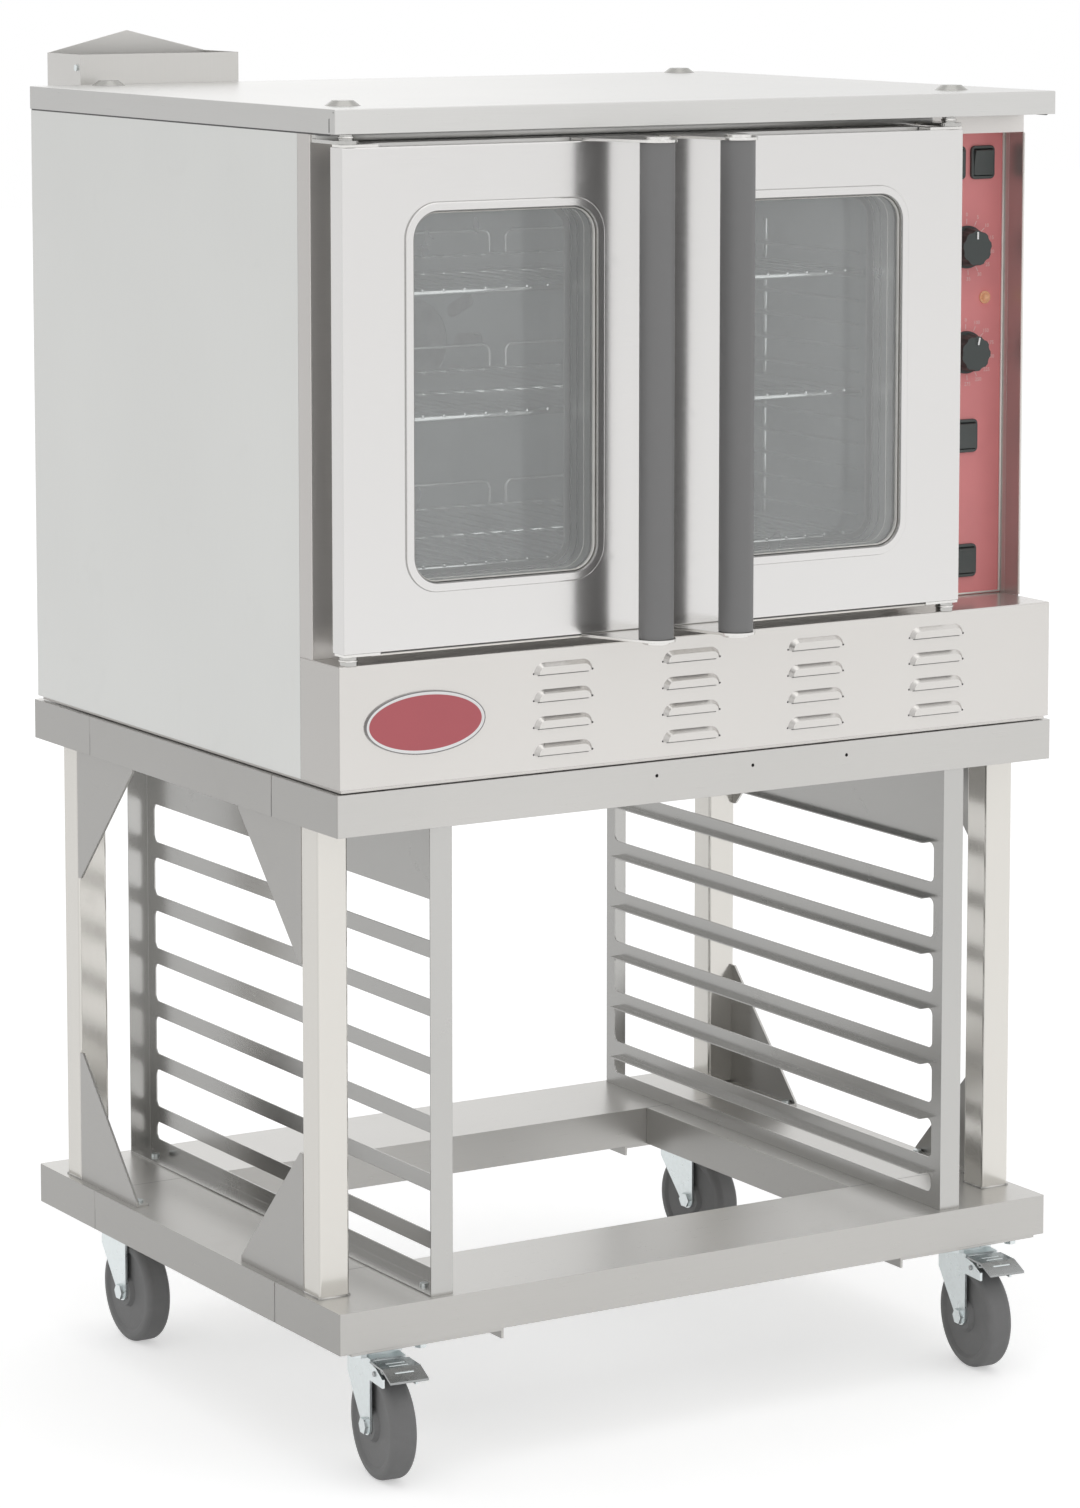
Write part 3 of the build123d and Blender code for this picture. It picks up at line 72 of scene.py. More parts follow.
def addNode(tree, kind, **values):
    # one shader node; values go to its settings or to its inputs by name
    made = tree.nodes.new(kind)
    for key, value in values.items():
        if hasattr(made, key):
            setattr(made, key, value)
        else:
            made.inputs[key.replace("_", " ")].default_value = value
    return made


def mathNode(tree, operation, a, b):
    # one Math node on two sockets or numbers
    made = tree.nodes.new("ShaderNodeMath")
    made.operation = operation
    for place, item in enumerate((a, b)):
        if isinstance(item, (int, float)):
            made.inputs[place].default_value = item
        else:
            tree.links.new(item, made.inputs[place])
    return made.outputs[0]


def rayMix(tree, plain, seen):
    # plain light for the object, the seen colour for camera, mirror and glass rays
    path = tree.nodes.new("ShaderNodeLightPath")
    direct = mathNode(tree, "MAXIMUM", path.outputs["Is Camera Ray"], path.outputs["Is Glossy Ray"])
    either = mathNode(tree, "MAXIMUM", direct, path.outputs["Is Transmission Ray"])
    mix = tree.nodes.new("ShaderNodeMixShader")
    tree.links.new(either, mix.inputs[0])
    tree.links.new(plain, mix.inputs[1])
    tree.links.new(seen, mix.inputs[2])
    return mix.outputs[0]


world = bpy.data.worlds.new("studioWorld")
world.use_nodes = True
tree = world.node_tree
tree.nodes.clear()
coords = tree.nodes.new("ShaderNodeTexCoord")
split = tree.nodes.new("ShaderNodeSeparateXYZ")
tree.links.new(coords.outputs["Generated"], split.inputs[0])
rise = addNode(tree, "ShaderNodeMapRange", interpolation_type="SMOOTHSTEP")
tree.links.new(split.outputs["Z"], rise.inputs["Value"])
rise.inputs["From Min"].default_value, rise.inputs["From Max"].default_value = studio["worldRise"]
rise.inputs["To Min"].default_value = studio["worldLow"]
rise.inputs["To Max"].default_value = studio["worldHigh"]
soft = tree.nodes.new("ShaderNodeBackground")
tree.links.new(rise.outputs[0], soft.inputs["Strength"])
white = addNode(tree, "ShaderNodeBackground", Strength=1.0)
white.inputs["Color"].default_value = (1, 1, 1, 1)
out = tree.nodes.new("ShaderNodeOutputWorld")
tree.links.new(rayMix(tree, soft.outputs[0], white.outputs[0]), out.inputs[0])
bpy.context.scene.world = world

floorMesh = bpy.data.meshes.new("studioFloor")
half = studio["floorSize"] / 2
corners = [(-half, -half, 0), (half, -half, 0), (half, half, 0), (-half, half, 0)]
floorMesh.from_pydata(corners, [], [(0, 1, 2, 3)])
studioFloor = bpy.data.objects.new("studioFloor", floorMesh)
bpy.context.scene.collection.objects.link(studioFloor)
floorMaterial = bpy.data.materials.new("floorPaper")
floorMaterial.use_nodes = True
tree = floorMaterial.node_tree
tree.nodes.clear()
paper = tree.nodes.new("ShaderNodeBsdfDiffuse")
paper.inputs["Color"].default_value = (studio["floorTone"],) * 3 + (1,)
lift = addNode(tree, "ShaderNodeEmission", Strength=studio["floorLift"])
both = tree.nodes.new("ShaderNodeAddShader")
tree.links.new(paper.outputs[0], both.inputs[0])
tree.links.new(lift.outputs[0], both.inputs[1])
out = tree.nodes.new("ShaderNodeOutputMaterial")
tree.links.new(rayMix(tree, paper.outputs[0], both.outputs[0]), out.inputs[0])
floorMesh.materials.append(floorMaterial)

for name, place, aim, size, watts in studio["lamps"]:
    light = bpy.data.lights.new(name + "Lamp", "AREA")
    light.shape = "DISK"
    light.size = size
    light.energy = watts
    lamp = bpy.data.objects.new(name + "Lamp", light)
    lamp.location = place
    lamp.rotation_euler = (Vector(aim) - Vector(place)).to_track_quat("-Z", "Y").to_euler()
    bpy.context.scene.collection.objects.link(lamp)
print("stage: camera, floor and", len(studio["lamps"]), "lamps")


# materials

def startMaterial(name, colour, roughness, metal=0.0):
    made = bpy.data.materials.new(name)
    made.use_nodes = True
    made.diffuse_color = colour + (1,)
    tree = made.node_tree
    tree.nodes.clear()
    out = tree.nodes.new("ShaderNodeOutputMaterial")
    skin = tree.nodes.new("ShaderNodeBsdfPrincipled")
    skin.inputs["Base Color"].default_value = colour + (1,)
    skin.inputs["Roughness"].default_value = roughness
    skin.inputs["Metallic"].default_value = metal
    tree.links.new(skin.outputs[0], out.inputs[0])
    return made, tree, skin


def noiseField(tree, vector, scale, detail=3.0, rough=0.55, distortion=0.0, dimensions="3D"):
    made = tree.nodes.new("ShaderNodeTexNoise")
    made.noise_dimensions = dimensions
    made.inputs["Scale"].default_value = scale
    made.inputs["Detail"].default_value = detail
    made.inputs["Roughness"].default_value = rough
    made.inputs["Distortion"].default_value = distortion
    tree.links.new(vector, made.inputs["Vector"])
    return made.outputs["Fac"]


def mapTo(tree, value, fromLow, fromHigh, toLow, toHigh, smooth=False):
    made = tree.nodes.new("ShaderNodeMapRange")
    made.interpolation_type = "SMOOTHSTEP" if smooth else "LINEAR"
    tree.links.new(value, made.inputs["Value"])
    for key, number in (("From Min", fromLow), ("From Max", fromHigh), ("To Min", toLow), ("To Max", toHigh)):
        made.inputs[key].default_value = number
    return made.outputs["Result"]


def shadeOf(tree, factor, dark, light):
    # colour between two tones by a 0 to 1 factor
    made = tree.nodes.new("ShaderNodeMix")
    made.data_type = "RGBA"
    tree.links.new(factor, made.inputs["Factor"])
    made.inputs["A"].default_value = tuple(dark) + (1,)
    made.inputs["B"].default_value = tuple(light) + (1,)
    return made.outputs["Result"]


def grainVector(tree, along, stretch=60.0):
    # Object coordinates laid out by which way the face looks: slow along the grain, fast across it.
    # level grain runs along X or Y, upright grain along Z
    coords = tree.nodes.new("ShaderNodeTexCoord")
    place = tree.nodes.new("ShaderNodeSeparateXYZ")
    facing = tree.nodes.new("ShaderNodeSeparateXYZ")
    tree.links.new(coords.outputs["Object"], place.inputs[0])
    tree.links.new(coords.outputs["Normal"], facing.inputs[0])
    x, y, z = place.outputs
    sideways = mapTo(tree, mathNode(tree, "ABSOLUTE", facing.outputs["X"], 0.0), 0.6, 0.8, 0.0, 1.0)
    upward = mapTo(tree, mathNode(tree, "ABSOLUTE", facing.outputs["Z"], 0.0), 0.6, 0.8, 0.0, 1.0)

    def blend(a, b, factor):
        mix = tree.nodes.new("ShaderNodeMix")
        mix.data_type = "FLOAT"
        tree.links.new(factor, mix.inputs["Factor"])
        tree.links.new(a, mix.inputs["A"])
        tree.links.new(b, mix.inputs["B"])
        return mix.outputs["Result"]

    level = blend(x, y, sideways)
    cross = blend(z, y, upward)
    slow, fast = (level, cross) if along == "level" else (blend(z, y, upward), level)
    joined = tree.nodes.new("ShaderNodeCombineXYZ")
    tree.links.new(slow, joined.inputs[0])
    tree.links.new(mathNode(tree, "MULTIPLY", fast, stretch), joined.inputs[1])
    return joined.outputs[0], coords.outputs["Object"]


def softEdge(tree, radius):
    made = tree.nodes.new("ShaderNodeBevel")
    made.samples = 4
    made.inputs["Radius"].default_value = radius
    return made.outputs["Normal"]


def sheetSteel(name, tone, roughness, along="level", grain=0.12, cloud=0.03, edge=0.0008,
               side=1.0, top=1.0, metal=0.8):
    # brushed sheet: long fine scratches, cloudy polish, rubbed marks and a small bend radius at each edge.
    # Painted shade and light by which way a face looks: side and top scale the tone of faces
    # that look along X and along Z
    made, tree, skin = startMaterial(name, tone, roughness, metal=metal)
    grainAt, placeAt = grainVector(tree, along)
    scratch = noiseField(tree, grainAt, 14.0, detail=5.0, rough=0.7, dimensions="2D")
    broad = noiseField(tree, placeAt, 2.6, detail=2.0)
    rubbed = noiseField(tree, placeAt, 17.0, detail=4.0, distortion=1.2)
    mark = mapTo(tree, rubbed, 0.60, 0.74, 0.0, 1.0, smooth=True)
    shades = mathNode(tree, "MULTIPLY", broad, 0.6), mathNode(tree, "MULTIPLY", scratch, 0.4)
    tint = mathNode(tree, "ADD", *shades)
    dark = tuple(c * (1 - cloud) for c in tone)
    light = tuple(min(1.0, c * (1 + cloud)) for c in tone)
    colour = shadeOf(tree, mapTo(tree, tint, 0.3, 0.7, 0.0, 1.0), dark, light)
    facing = tree.nodes.new("ShaderNodeSeparateXYZ")
    coords = tree.nodes.new("ShaderNodeTexCoord")
    tree.links.new(coords.outputs["Normal"], facing.inputs[0])
    # painted shade and light: the tone is scaled on faces that look along X (side) and along Z (top)
    for axis, amount in (("X", side), ("Z", top)):
        if amount != 1.0:
            square = mathNode(tree, "ABSOLUTE", facing.outputs[axis], 0.0)
            turned = mapTo(tree, square, 0.3, 0.9, 1.0, amount, smooth=True)
            paintedFaceShade = addNode(tree, "ShaderNodeVectorMath", operation="SCALE")
            tree.links.new(colour, paintedFaceShade.inputs[0])
            tree.links.new(turned, paintedFaceShade.inputs["Scale"])
            colour = paintedFaceShade.outputs[0]
    tree.links.new(colour, skin.inputs["Base Color"])
    brushed = mapTo(tree, scratch, 0.25, 0.75, roughness - 0.03, roughness + 0.03)
    rough = mathNode(tree, "ADD", brushed, mathNode(tree, "MULTIPLY", mark, 0.04))
    tree.links.new(rough, skin.inputs["Roughness"])
    bump = addNode(tree, "ShaderNodeBump", Strength=grain, Distance=0.00012)
    tree.links.new(scratch, bump.inputs["Height"])
    if edge:
        tree.links.new(softEdge(tree, edge), bump.inputs["Normal"])
    tree.links.new(bump.outputs[0], skin.inputs["Normal"])
    return made


def platedSteel(name, tone, roughness, spangle=0.08, size=40.0, edge=0.0006):
    # zinc plate or galvanised sheet: soft crystal patches and a faint pitting
    made, tree, skin = startMaterial(name, tone, roughness, metal=1.0)
    coords = tree.nodes.new("ShaderNodeTexCoord")
    cell = tree.nodes.new("ShaderNodeTexVoronoi")
    cell.inputs["Scale"].default_value = size
    tree.links.new(coords.outputs["Object"], cell.inputs["Vector"])
    grey = tree.nodes.new("ShaderNodeSeparateColor")
    tree.links.new(cell.outputs["Color"], grey.inputs[0])
    cloudy = noiseField(tree, coords.outputs["Object"], size * 0.4, detail=3.0)
    crystals = mathNode(tree, "MULTIPLY", grey.outputs[0], 0.45)
    mixed = mathNode(tree, "ADD", crystals, mathNode(tree, "MULTIPLY", cloudy, 0.55))
    dark = tuple(c * (1 - spangle) for c in tone)
    light = tuple(min(1.0, c * (1 + spangle)) for c in tone)
    colour = shadeOf(tree, mapTo(tree, mixed, 0.2, 0.8, 0.0, 1.0), dark, light)
    tree.links.new(colour, skin.inputs["Base Color"])
    rough = mapTo(tree, mixed, 0.2, 0.8, roughness - 0.06, roughness + 0.08)
    tree.links.new(rough, skin.inputs["Roughness"])
    pits = noiseField(tree, coords.outputs["Object"], 700.0, detail=2.0)
    bump = addNode(tree, "ShaderNodeBump", Strength=0.25, Distance=0.00008)
    tree.links.new(pits, bump.inputs["Height"])
    if edge:
        tree.links.new(softEdge(tree, edge), bump.inputs["Normal"])
    tree.links.new(bump.outputs[0], skin.inputs["Normal"])
    return made


def mouldedPlastic(name, tone, roughness, grainSize=900.0, depth=0.00008, dust=0.12, edge=0.0006):
    # moulded plastic or rubber: fine orange-peel grain and a little dust in patches
    made, tree, skin = startMaterial(name, tone, roughness)
    coords = tree.nodes.new("ShaderNodeTexCoord")
    fine = noiseField(tree, coords.outputs["Object"], grainSize, detail=2.0)
    patch = noiseField(tree, coords.outputs["Object"], 28.0, detail=4.0, distortion=0.6)
    dusty = mapTo(tree, patch, 0.42, 0.72, 0.0, 1.0, smooth=True)
    light = tuple(min(1.0, c + dust * (0.5 + c)) for c in tone)
    colour = shadeOf(tree, mathNode(tree, "MULTIPLY", dusty, 0.5), tone, light)
    tree.links.new(colour, skin.inputs["Base Color"])
    grainy = mapTo(tree, fine, 0.3, 0.7, roughness - 0.04, roughness + 0.04)
    rough = mathNode(tree, "ADD", grainy, mathNode(tree, "MULTIPLY", dusty, 0.08))
    tree.links.new(rough, skin.inputs["Roughness"])
    bump = addNode(tree, "ShaderNodeBump", Strength=0.5, Distance=depth)
    tree.links.new(fine, bump.inputs["Height"])
    if edge:
        tree.links.new(softEdge(tree, edge), bump.inputs["Normal"])
    tree.links.new(bump.outputs[0], skin.inputs["Normal"])
    return made


def paintedSheet(name, tone, roughness, speck=0.0, speckTone=(1, 1, 1), coat=0.0, peel=260.0):
    # stoved paint or vitreous enamel: orange peel, faint unevenness, specks where the glaze has them
    made, tree, skin = startMaterial(name, tone, roughness)
    coords = tree.nodes.new("ShaderNodeTexCoord")
    uneven = noiseField(tree, coords.outputs["Object"], 9.0, detail=3.0)
    wave = noiseField(tree, coords.outputs["Object"], peel, detail=1.0)
    dark = tuple(c * 0.93 for c in tone)
    light = tuple(min(1.0, c * 1.06) for c in tone)
    base = shadeOf(tree, mapTo(tree, uneven, 0.3, 0.7, 0.0, 1.0), dark, light)
    if speck:
        dots = noiseField(tree, coords.outputs["Object"], 620.0, detail=1.0)
        spots = mapTo(tree, dots, 0.66, 0.70, 0.0, speck, smooth=True)
        over = tree.nodes.new("ShaderNodeMix")
        over.data_type = "RGBA"
        tree.links.new(spots, over.inputs["Factor"])
        tree.links.new(base, over.inputs["A"])
        over.inputs["B"].default_value = speckTone + (1,)
        base = over.outputs["Result"]
    tree.links.new(base, skin.inputs["Base Color"])
    rough = mapTo(tree, uneven, 0.3, 0.7, roughness - 0.04, roughness + 0.05)
    tree.links.new(rough, skin.inputs["Roughness"])
    skin.inputs["Coat Weight"].default_value = coat
    skin.inputs["Coat Roughness"].default_value = 0.12
    bump = addNode(tree, "ShaderNodeBump", Strength=0.2, Distance=0.0001)
    tree.links.new(wave, bump.inputs["Height"])
    tree.links.new(softEdge(tree, 0.0006), bump.inputs["Normal"])
    tree.links.new(bump.outputs[0], skin.inputs["Normal"])
    return made


def windowGlass(name, tone, haze, shade=(0.95, 0.965, 0.96)):
    # oven glass: faintly green and clear, with a thin baked haze on the outer face of the outer pane
    made, tree, skin = startMaterial(name, tone, 0.0)
    coords = tree.nodes.new("ShaderNodeTexCoord")
    place = tree.nodes.new("ShaderNodeSeparateXYZ")
    tree.links.new(coords.outputs["Object"], place.inputs[0])
    cloudy = noiseField(tree, coords.outputs["Object"], 7.0, detail=4.0, distortion=0.8)
    outer = mapTo(tree, place.outputs["Y"], haze["outerY"], haze["outerY"] + haze["fade"], 1.0, 0.0)
    amount = mathNode(tree, "MULTIPLY", outer, mapTo(tree, cloudy, 0.3, 0.7, haze["least"], haze["most"]))
    tree.links.new(shadeOf(tree, outer, tone, haze["tone"]), skin.inputs["Base Color"])
    tree.links.new(mathNode(tree, "SUBTRACT", 1.0, amount), skin.inputs["Transmission Weight"])
    skin.inputs["IOR"].default_value = 1.45
    # lamp light passes straight through the pane, so the racks behind it are lit
    path = tree.nodes.new("ShaderNodeLightPath")
    through = tree.nodes.new("ShaderNodeBsdfTransparent")
    through.inputs["Color"].default_value = shade + (1,)
    pane = tree.nodes.new("ShaderNodeMixShader")
    out = next(node for node in tree.nodes if node.type == "OUTPUT_MATERIAL")
    tree.links.new(path.outputs["Is Shadow Ray"], pane.inputs[0])
    tree.links.new(skin.outputs[0], pane.inputs[1])
    tree.links.new(through.outputs[0], pane.inputs[2])
    tree.links.new(pane.outputs[0], out.inputs[0])
    return made


def lensPlastic(name, tone, clear=0.25, paintedGlow=0.16):
    # translucent ribbed lamp lens with a faint painted glow: it emits light, though no lamp is behind it
    made, tree, skin = startMaterial(name, tone, 0.18)
    coords = tree.nodes.new("ShaderNodeTexCoord")
    ribs = noiseField(tree, coords.outputs["Object"], 500.0, detail=1.0)
    dark = tuple(c * 0.75 for c in tone)
    colour = shadeOf(tree, mapTo(tree, ribs, 0.3, 0.7, 0.0, 1.0), dark, tone)
    tree.links.new(colour, skin.inputs["Base Color"])
    skin.inputs["Transmission Weight"].default_value = clear
    # painted glow: emission on a lens that is no lamp
    skin.inputs["Emission Color"].default_value = tone + (1,)
    skin.inputs["Emission Strength"].default_value = paintedGlow
    bump = addNode(tree, "ShaderNodeBump", Strength=0.3, Distance=0.0002)
    tree.links.new(ribs, bump.inputs["Height"])
    tree.links.new(bump.outputs[0], skin.inputs["Normal"])
    return made


def woolBlanket(name, tone):
    # mineral wool: tangled fibres
    made, tree, skin = startMaterial(name, tone, 0.95)
    coords = tree.nodes.new("ShaderNodeTexCoord")
    fibre = noiseField(tree, coords.outputs["Object"], 160.0, detail=6.0, rough=0.7, distortion=2.5)
    dark = tuple(c * 0.7 for c in tone)
    colour = shadeOf(tree, mapTo(tree, fibre, 0.35, 0.65, 0.0, 1.0), dark, tone)
    tree.links.new(colour, skin.inputs["Base Color"])
    bump = addNode(tree, "ShaderNodeBump", Strength=0.8, Distance=0.002)
    tree.links.new(fibre, bump.inputs["Height"])
    tree.links.new(bump.outputs[0], skin.inputs["Normal"])
    return made


def ovalBadge(name, red, rim, badge):
    # stoved red oval, an even pale rim round it and a thin dark line at the very edge
    made, tree, skin = startMaterial(name, red, 0.3)
    coords = tree.nodes.new("ShaderNodeTexCoord")
    parts = tree.nodes.new("ShaderNodeSeparateXYZ")
    tree.links.new(coords.outputs["Object"], parts.inputs[0])
    uneven = noiseField(tree, coords.outputs["Object"], 9.0, detail=3.0)
    base = shadeOf(tree, uneven, tuple(c * 0.94 for c in red), tuple(c * 1.05 for c in red))
    for inset, colour in ((badge["rim"], rim), (badge["line"], badge["lineTone"])):
        # inside the oval the squares of across and upward, as shares of their half sizes, add up to under 1
        squares = []
        for axis, middle, half in (("X", "x", "halfWidth"), ("Z", "z", "halfHeight")):
            offset = mathNode(tree, "SUBTRACT", parts.outputs[axis], badge[middle])
            share = mathNode(tree, "DIVIDE", offset, badge[half] - inset)
            squares.append(mathNode(tree, "MULTIPLY", share, share))
        square = mathNode(tree, "ADD", *squares)
        over = tree.nodes.new("ShaderNodeMix")
        over.data_type = "RGBA"
        tree.links.new(mapTo(tree, square, 0.99, 1.01, 0.0, 1.0), over.inputs["Factor"])
        tree.links.new(base, over.inputs["A"])
        over.inputs["B"].default_value = colour + (1,)
        base = over.outputs["Result"]
    tree.links.new(base, skin.inputs["Base Color"])
    skin.inputs["Coat Weight"].default_value = 0.5
    skin.inputs["Coat Roughness"].default_value = 0.12
    return made


# side and top below are painted shade and light on faces that look along X and along Z
railSteel = sheetSteel("railSteel", (0.585, 0.575, 0.555), 0.30, "level", cloud=0.03, side=0.62, top=1.1)
# baseSteel is railSteel a little darker: painted shade against the bright floor below the base frame
baseSteel = sheetSteel("baseSteel", (0.53, 0.52, 0.50), 0.30, "level", grain=0.08, cloud=0.03,
                       side=0.66, top=1.14)
postSteel = sheetSteel("postSteel", (0.72, 0.70, 0.66), 0.17, "upright", grain=0.06, cloud=0.02, side=0.84)
bodySteel = sheetSteel("bodySteel", (0.75, 0.725, 0.70), 0.33, "level", side=0.68, metal=0.65)
louvreSteel = sheetSteel("louvreSteel", (0.70, 0.68, 0.655), 0.22, "level", side=0.66, metal=0.75)
flueSteel = sheetSteel("flueSteel", (0.63, 0.62, 0.60), 0.34, "upright", side=0.94)
sideSteel = sheetSteel("sideSteel", (0.625, 0.63, 0.615), 0.36, "upright", cloud=0.03)
coverSteel = sheetSteel("coverSteel", (0.655, 0.65, 0.635), 0.30, "level", side=0.76, top=1.06)
doorSteel = sheetSteel("doorSteel", (0.715, 0.705, 0.695), 0.17, "level", grain=0.08, cloud=0.015,
                       side=0.9, metal=0.92)
linerSteel = sheetSteel("doorLinerSteel", (0.62, 0.615, 0.60), 0.30, "level")
hingeSteel = sheetSteel("hingeSteel", (0.74, 0.73, 0.71), 0.16, "level", metal=1.0)
bushSteel = sheetSteel("bushSteel", (0.50, 0.495, 0.48), 0.12, "level", metal=1.0)
slideSteel = sheetSteel("slideSteel", (0.52, 0.515, 0.50), 0.24, "level", side=0.68, top=1.1, metal=0.9)
# pale and mostly matt: painted highlight for thin bright lines on hems, beads and edges
paintedHighlightSteel = sheetSteel("paintedHighlightSteel", (0.92, 0.895, 0.85), 0.30, "upright", metal=0.3, edge=0)
plugSteel = sheetSteel("plugSteel", (0.40, 0.395, 0.375), 0.24, "level", edge=0)
zincPlate = platedSteel("zincPlate", (0.70, 0.745, 0.75), 0.32, spangle=0.04, size=260.0)
pedalPlate = platedSteel("pedalPlate", (0.36, 0.37, 0.37), 0.26, spangle=0.02, size=120.0)
galvanised = platedSteel("galvanisedSheet", (0.56, 0.58, 0.59), 0.42, spangle=0.12, size=70.0)
rackWire = platedSteel("rackWire", (0.97, 0.97, 0.96), 0.12, spangle=0.02, size=300.0, edge=0)
blowerSteel = platedSteel("blowerSteel", (0.50, 0.51, 0.51), 0.38, spangle=0.08, size=120.0, edge=0)
heatedSteel = platedSteel("heatedSteel", (0.20, 0.19, 0.185), 0.5, spangle=0.2, size=60.0, edge=0)
motorPaint = paintedSheet("motorPaint", (0.10, 0.105, 0.11), 0.45)
redPaint = paintedSheet("panelRed", (0.85, 0.29, 0.295), 0.42, coat=0.1)
badgeEnamel = ovalBadge("badgeEnamel", (0.50, 0.085, 0.105), (0.95, 0.95, 0.95),
                        {"x": -0.3725, "z": 0.8537, "halfWidth": 0.0755, "halfHeight": 0.035,
                         "rim": 0.0044, "line": 0.0012, "lineTone": (0.20, 0.19, 0.19)})
ovenEnamel = paintedSheet("ovenEnamel", (0.52, 0.56, 0.565), 0.38, speck=0.3, speckTone=(0.5, 0.5, 0.5))
wheelRubber = mouldedPlastic("wheelRubber", (0.185, 0.185, 0.185), 0.60, grainSize=500.0, dust=0.06)
gripPlastic = mouldedPlastic("gripPlastic", (0.205, 0.204, 0.204), 0.50, grainSize=900.0, dust=0.02)
knobPlastic = mouldedPlastic("knobPlastic", (0.062, 0.072, 0.07), 0.6, dust=0.02)
rockerPlastic = mouldedPlastic("rockerPlastic", (0.082, 0.093, 0.09), 0.52, dust=0.02)
sealRubber = mouldedPlastic("sealRubber", (0.16, 0.16, 0.158), 0.6, grainSize=1200.0)
windowRubber = mouldedPlastic("windowRubber", (0.74, 0.73, 0.70), 0.55, grainSize=1200.0)
whitePrint = paintedSheet("dialPrint", (0.93, 0.66, 0.66), 0.5)
markPrint = paintedSheet("markPrint", (0.95, 0.95, 0.94), 0.5)
shadowLine = mouldedPlastic("shadowLine", (0.10, 0.10, 0.10), 0.7, dust=0.02, edge=0)
# dark joints between the rails, and painted shade lines at the window bead's inner edge and under the louvre
# lips
jointAndShadeLine = mouldedPlastic("jointAndShadeLine", (0.30, 0.295, 0.29), 0.6, dust=0.02, edge=0)
# mid grey: a painted shade line at the foot of the window bead
paleShadeLine = mouldedPlastic("paleShadeLine", (0.55, 0.545, 0.53), 0.6, dust=0.02, edge=0)
clearGlass = windowGlass("ovenGlass", (0.965, 0.975, 0.975),
                         {"outerY": -0.375, "fade": 0.001, "least": 0.23, "most": 0.27,
                          "tone": (0.93, 0.95, 0.95)})
amberLens = lensPlastic("amberLens", (0.86, 0.50, 0.29))
woolFill = woolBlanket("woolFill", (0.70, 0.62, 0.42))

finishes = {
    railSteel: ["top_frame", "gussets"],
    baseSteel: ["base_frame", "caster_mounts"],
    postSteel: ["stand_posts"],
    bodySteel: ["front_frame"],
    louvreSteel: ["lower_panel"],
    flueSteel: ["flue_box"],
    sideSteel: ["left_side_panel", "right_side_panel"],
    coverSteel: ["top_cover"],
    plugSteel: ["top_plugs"],
    slideSteel: ["slide_rack_left", "slide_rack_right"],
    zincPlate: ["caster_plates", "screws", "caster_fork_front_left", "caster_fork_front_right",
                "caster_fork_rear_left", "caster_fork_rear_right"],
    pedalPlate: ["brake_pedal_front_left", "brake_pedal_front_right"],
    wheelRubber: ["caster_wheel_front_left", "caster_wheel_front_right",
                  "caster_wheel_rear_left", "caster_wheel_rear_right"],
    galvanised: ["bottom_pan", "back_panel", "motor_cover"],
    badgeEnamel: ["badge"],
    ovenEnamel: ["oven_liner", "fan_baffle"],
    woolFill: ["insulation"],
    blowerSteel: ["blower_wheel"],
    motorPaint: ["fan_motor"],
    heatedSteel: ["heating_element"],
    rackWire: ["rack_guides", "oven_racks"],
    sealRubber: ["door_gasket"],
    hingeSteel: ["door_left_brackets", "door_right_brackets"],
    bushSteel: ["hinge_bearings"],
    redPaint: ["control_plate"],
    rockerPlastic: ["control_components", "power_inlet",
                    "rocker_upper_left", "rocker_upper_right", "rocker_middle", "rocker_lower"],
    amberLens: ["heat_lamp"],
    knobPlastic: ["timer_knob", "temperature_knob"],
    doorSteel: ["door_left_skin", "door_right_skin"],
    linerSteel: ["door_left_liner", "door_right_liner"],
    clearGlass: ["door_left_glass", "door_right_glass"],
    gripPlastic: ["door_left_grip", "door_right_grip"],
}
dressed = set()
for material, names in finishes.items():
    for name in names:
        slots = nodes[name].data.materials
        slots.clear()
        slots.append(material)
        dressed.add(name)
print("materials: dressed", len(dressed), "nodes, bare", sorted(set(nodes) - dressed))


# trim and print, worked out in millimetres

sides = ((-1, "Left"), (1, "Right"))
window = {
    "x": {"left": -271.5, "right": 139.5}, "z": 1210.0,
    "halfWidth": 116.5, "halfHeight": 202.5, "corner": 30.0,
}
taper = np.array([0.05, 1.0, 1.0, 0.05])[:, None]     # a short rod's radius at its ends and just inside them
bend = np.linspace(0.0, np.pi, 9)                     # angles of a half-round section


def circle(count):
    # angles of a full turn in equal steps
    return np.linspace(0.0, 2 * np.pi, count, endpoint=False)


def gridQuads(rows, columns, along=False):
    # corner numbers of a grid's quads, its rows closed; along joins the last row to the first
    index = np.arange(rows * columns).reshape(rows, columns)
    if along:
        index = np.vstack([index, index[:1]])
    index = np.hstack([index, index[:, :1]])
    return np.stack([index[:-1, :-1], index[:-1, 1:], index[1:, 1:], index[1:, :-1]], axis=-1).reshape(-1, 4)


def enclosed(mesh):
    # volume inside the faces: a sixth of the sum of a . (b x c) over the triangles,
    # negative where they look inwards
    mesh.calc_loop_triangles()
    corners = np.empty(len(mesh.loop_triangles) * 3, dtype=np.int32)
    mesh.loop_triangles.foreach_get("vertices", corners)
    places = np.empty(len(mesh.vertices) * 3)
    mesh.vertices.foreach_get("co", places)
    a, b, c = places.reshape(-1, 3)[corners.reshape(-1, 3)].transpose(1, 0, 2)
    return float(np.sum(a * np.cross(b, c))) / 6


